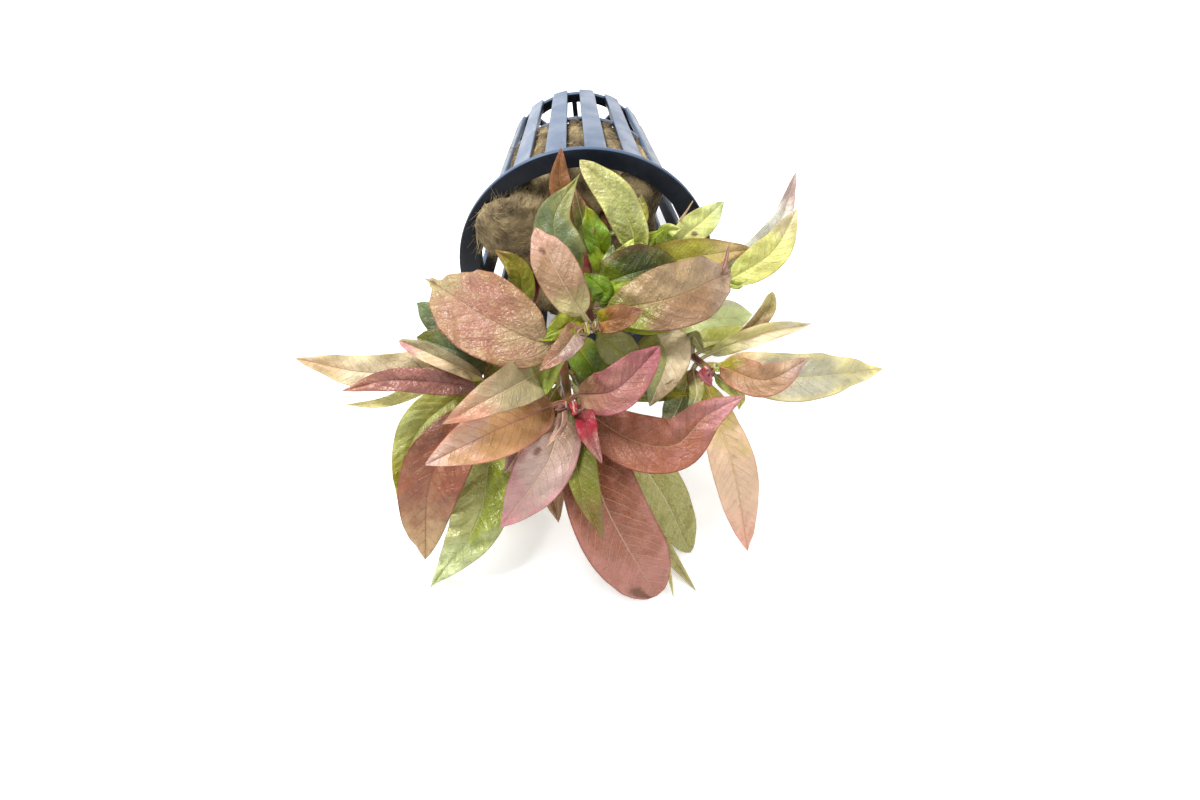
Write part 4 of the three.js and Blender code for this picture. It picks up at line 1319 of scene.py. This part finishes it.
def add_camera(scene):
    """The photograph's view: 51 degrees down, a little to the right of straight on."""
    camera_data = bpy.data.cameras.new("camera")
    camera_data.lens = 60
    camera_data.sensor_width = 36
    camera = bpy.data.objects.new("camera", camera_data)
    camera.location = MOUTH + CAMERA_FROM_MOUTH
    camera.rotation_euler = (math.pi / 2 - LOOK_DOWN, 0, -LOOK_ASIDE)
    scene.collection.objects.link(camera)
    scene.camera = camera


# Operators, one for each piece or group of like pieces

class PLANT_OT_net_pot(bpy.types.Operator):
    """Model the slotted net pot with its lip, ribs, hoop and open base"""
    bl_idname = "plant.net_pot"
    bl_label = "Net pot"
    bl_options = {"REGISTER", "UNDO"}

    def execute(self, context):
        build_pot(context)
        return {"FINISHED"}


class PLANT_OT_rock_wool(bpy.types.Operator):
    """Model the rock wool plug and its fibres"""
    bl_idname = "plant.rock_wool"
    bl_label = "Rock wool"
    bl_options = {"REGISTER", "UNDO"}

    def execute(self, context):
        build_wool(context)
        return {"FINISHED"}


class PLANT_OT_stems(bpy.types.Operator):
    """Model the six stems with their nodes"""
    bl_idname = "plant.stems"
    bl_label = "Stems"
    bl_options = {"REGISTER", "UNDO"}

    def execute(self, context):
        build_stems(context)
        return {"FINISHED"}


class PLANT_OT_upper_leaves(bpy.types.Operator):
    """Bend the leaves of the highest crown"""
    bl_idname = "plant.upper_leaves"
    bl_label = "Upper leaves"
    bl_options = {"REGISTER", "UNDO"}

    def execute(self, context):
        build_leaves(context, UPPER_LEAVES, first_seed=1)
        return {"FINISHED"}


class PLANT_OT_mouth_leaves(bpy.types.Operator):
    """Bend the leaves of the short shoots in the pot's mouth"""
    bl_idname = "plant.mouth_leaves"
    bl_label = "Leaves in the mouth"
    bl_options = {"REGISTER", "UNDO"}

    def execute(self, context):
        build_leaves(context, MOUTH_LEAVES, first_seed=21)
        return {"FINISHED"}


class PLANT_OT_right_leaves(bpy.types.Operator):
    """Bend the leaves of the right crown"""
    bl_idname = "plant.right_leaves"
    bl_label = "Right leaves"
    bl_options = {"REGISTER", "UNDO"}

    def execute(self, context):
        build_leaves(context, RIGHT_LEAVES, first_seed=41)
        return {"FINISHED"}


class PLANT_OT_front_leaves(bpy.types.Operator):
    """Bend the leaves of the nearest crown"""
    bl_idname = "plant.front_leaves"
    bl_label = "Front leaves"
    bl_options = {"REGISTER", "UNDO"}

    def execute(self, context):
        build_leaves(context, FRONT_LEAVES, first_seed=61)
        return {"FINISHED"}


class PLANT_OT_left_leaves(bpy.types.Operator):
    """Bend the leaves of the left crown"""
    bl_idname = "plant.left_leaves"
    bl_label = "Left leaves"
    bl_options = {"REGISTER", "UNDO"}

    def execute(self, context):
        build_leaves(context, LEFT_LEAVES, first_seed=81)
        return {"FINISHED"}


class PLANT_OT_small_leaves(bpy.types.Operator):
    """Bend the smallest leaves and the buds"""
    bl_idname = "plant.small_leaves"
    bl_label = "Small leaves and buds"
    bl_options = {"REGISTER", "UNDO"}

    def execute(self, context):
        build_leaves(context, SMALL_LEAVES, first_seed=101)
        return {"FINISHED"}


class PLANT_OT_loose_bits(bpy.types.Operator):
    """Model the rootlet"""
    bl_idname = "plant.loose_bits"
    bl_label = "Loose bits"
    bl_options = {"REGISTER", "UNDO"}

    def execute(self, context):
        build_loose_bits(context)
        return {"FINISHED"}


class PLANT_OT_stage(bpy.types.Operator):
    """Set up the floor, the light and the camera"""
    bl_idname = "plant.stage"
    bl_label = "Stage"
    bl_options = {"REGISTER", "UNDO"}

    def execute(self, context):
        build_stage(context)
        return {"FINISHED"}


STEPS = (
    PLANT_OT_net_pot, PLANT_OT_rock_wool, PLANT_OT_stems, PLANT_OT_upper_leaves,
    PLANT_OT_mouth_leaves, PLANT_OT_right_leaves, PLANT_OT_front_leaves, PLANT_OT_left_leaves,
    PLANT_OT_small_leaves, PLANT_OT_loose_bits, PLANT_OT_stage)
SETTINGS = {
    "pot_sizes": PotSizes,
    "wool_sizes": WoolSizes,
    "leaf_sizes": LeafSizes,
    "plant_colours": PlantColours,
}


class PLANT_PT_sidebar(bpy.types.Panel):
    """The plant's steps, sizes and colours"""
    bl_idname = "PLANT_PT_sidebar"
    bl_label = "Potted water plant"
    bl_space_type = "VIEW_3D"
    bl_region_type = "UI"
    bl_category = "Plant"

    def draw(self, context):
        for step in STEPS:
            self.layout.operator(step.bl_idname)
        for name, group in SETTINGS.items():
            box = self.layout.box()
            for key in group.__annotations__:
                box.prop(getattr(context.scene, name), key)


def register():
    for name, group in SETTINGS.items():
        bpy.utils.register_class(group)
        setattr(bpy.types.Scene, name, bpy.props.PointerProperty(type=group))
    for step in STEPS:
        bpy.utils.register_class(step)
    bpy.utils.register_class(PLANT_PT_sidebar)


def unregister():
    bpy.utils.unregister_class(PLANT_PT_sidebar)
    for step in reversed(STEPS):
        bpy.utils.unregister_class(step)
    for name, group in SETTINGS.items():
        delattr(bpy.types.Scene, name)
        bpy.utils.unregister_class(group)


def main():
    register()
    bpy.ops.plant.net_pot()
    bpy.ops.plant.rock_wool()
    bpy.ops.plant.stems()
    bpy.ops.plant.upper_leaves()
    bpy.ops.plant.mouth_leaves()
    bpy.ops.plant.right_leaves()
    bpy.ops.plant.front_leaves()
    bpy.ops.plant.left_leaves()
    bpy.ops.plant.small_leaves()
    bpy.ops.plant.loose_bits()
    bpy.ops.plant.stage()


if __name__ == "__main__":
    main()
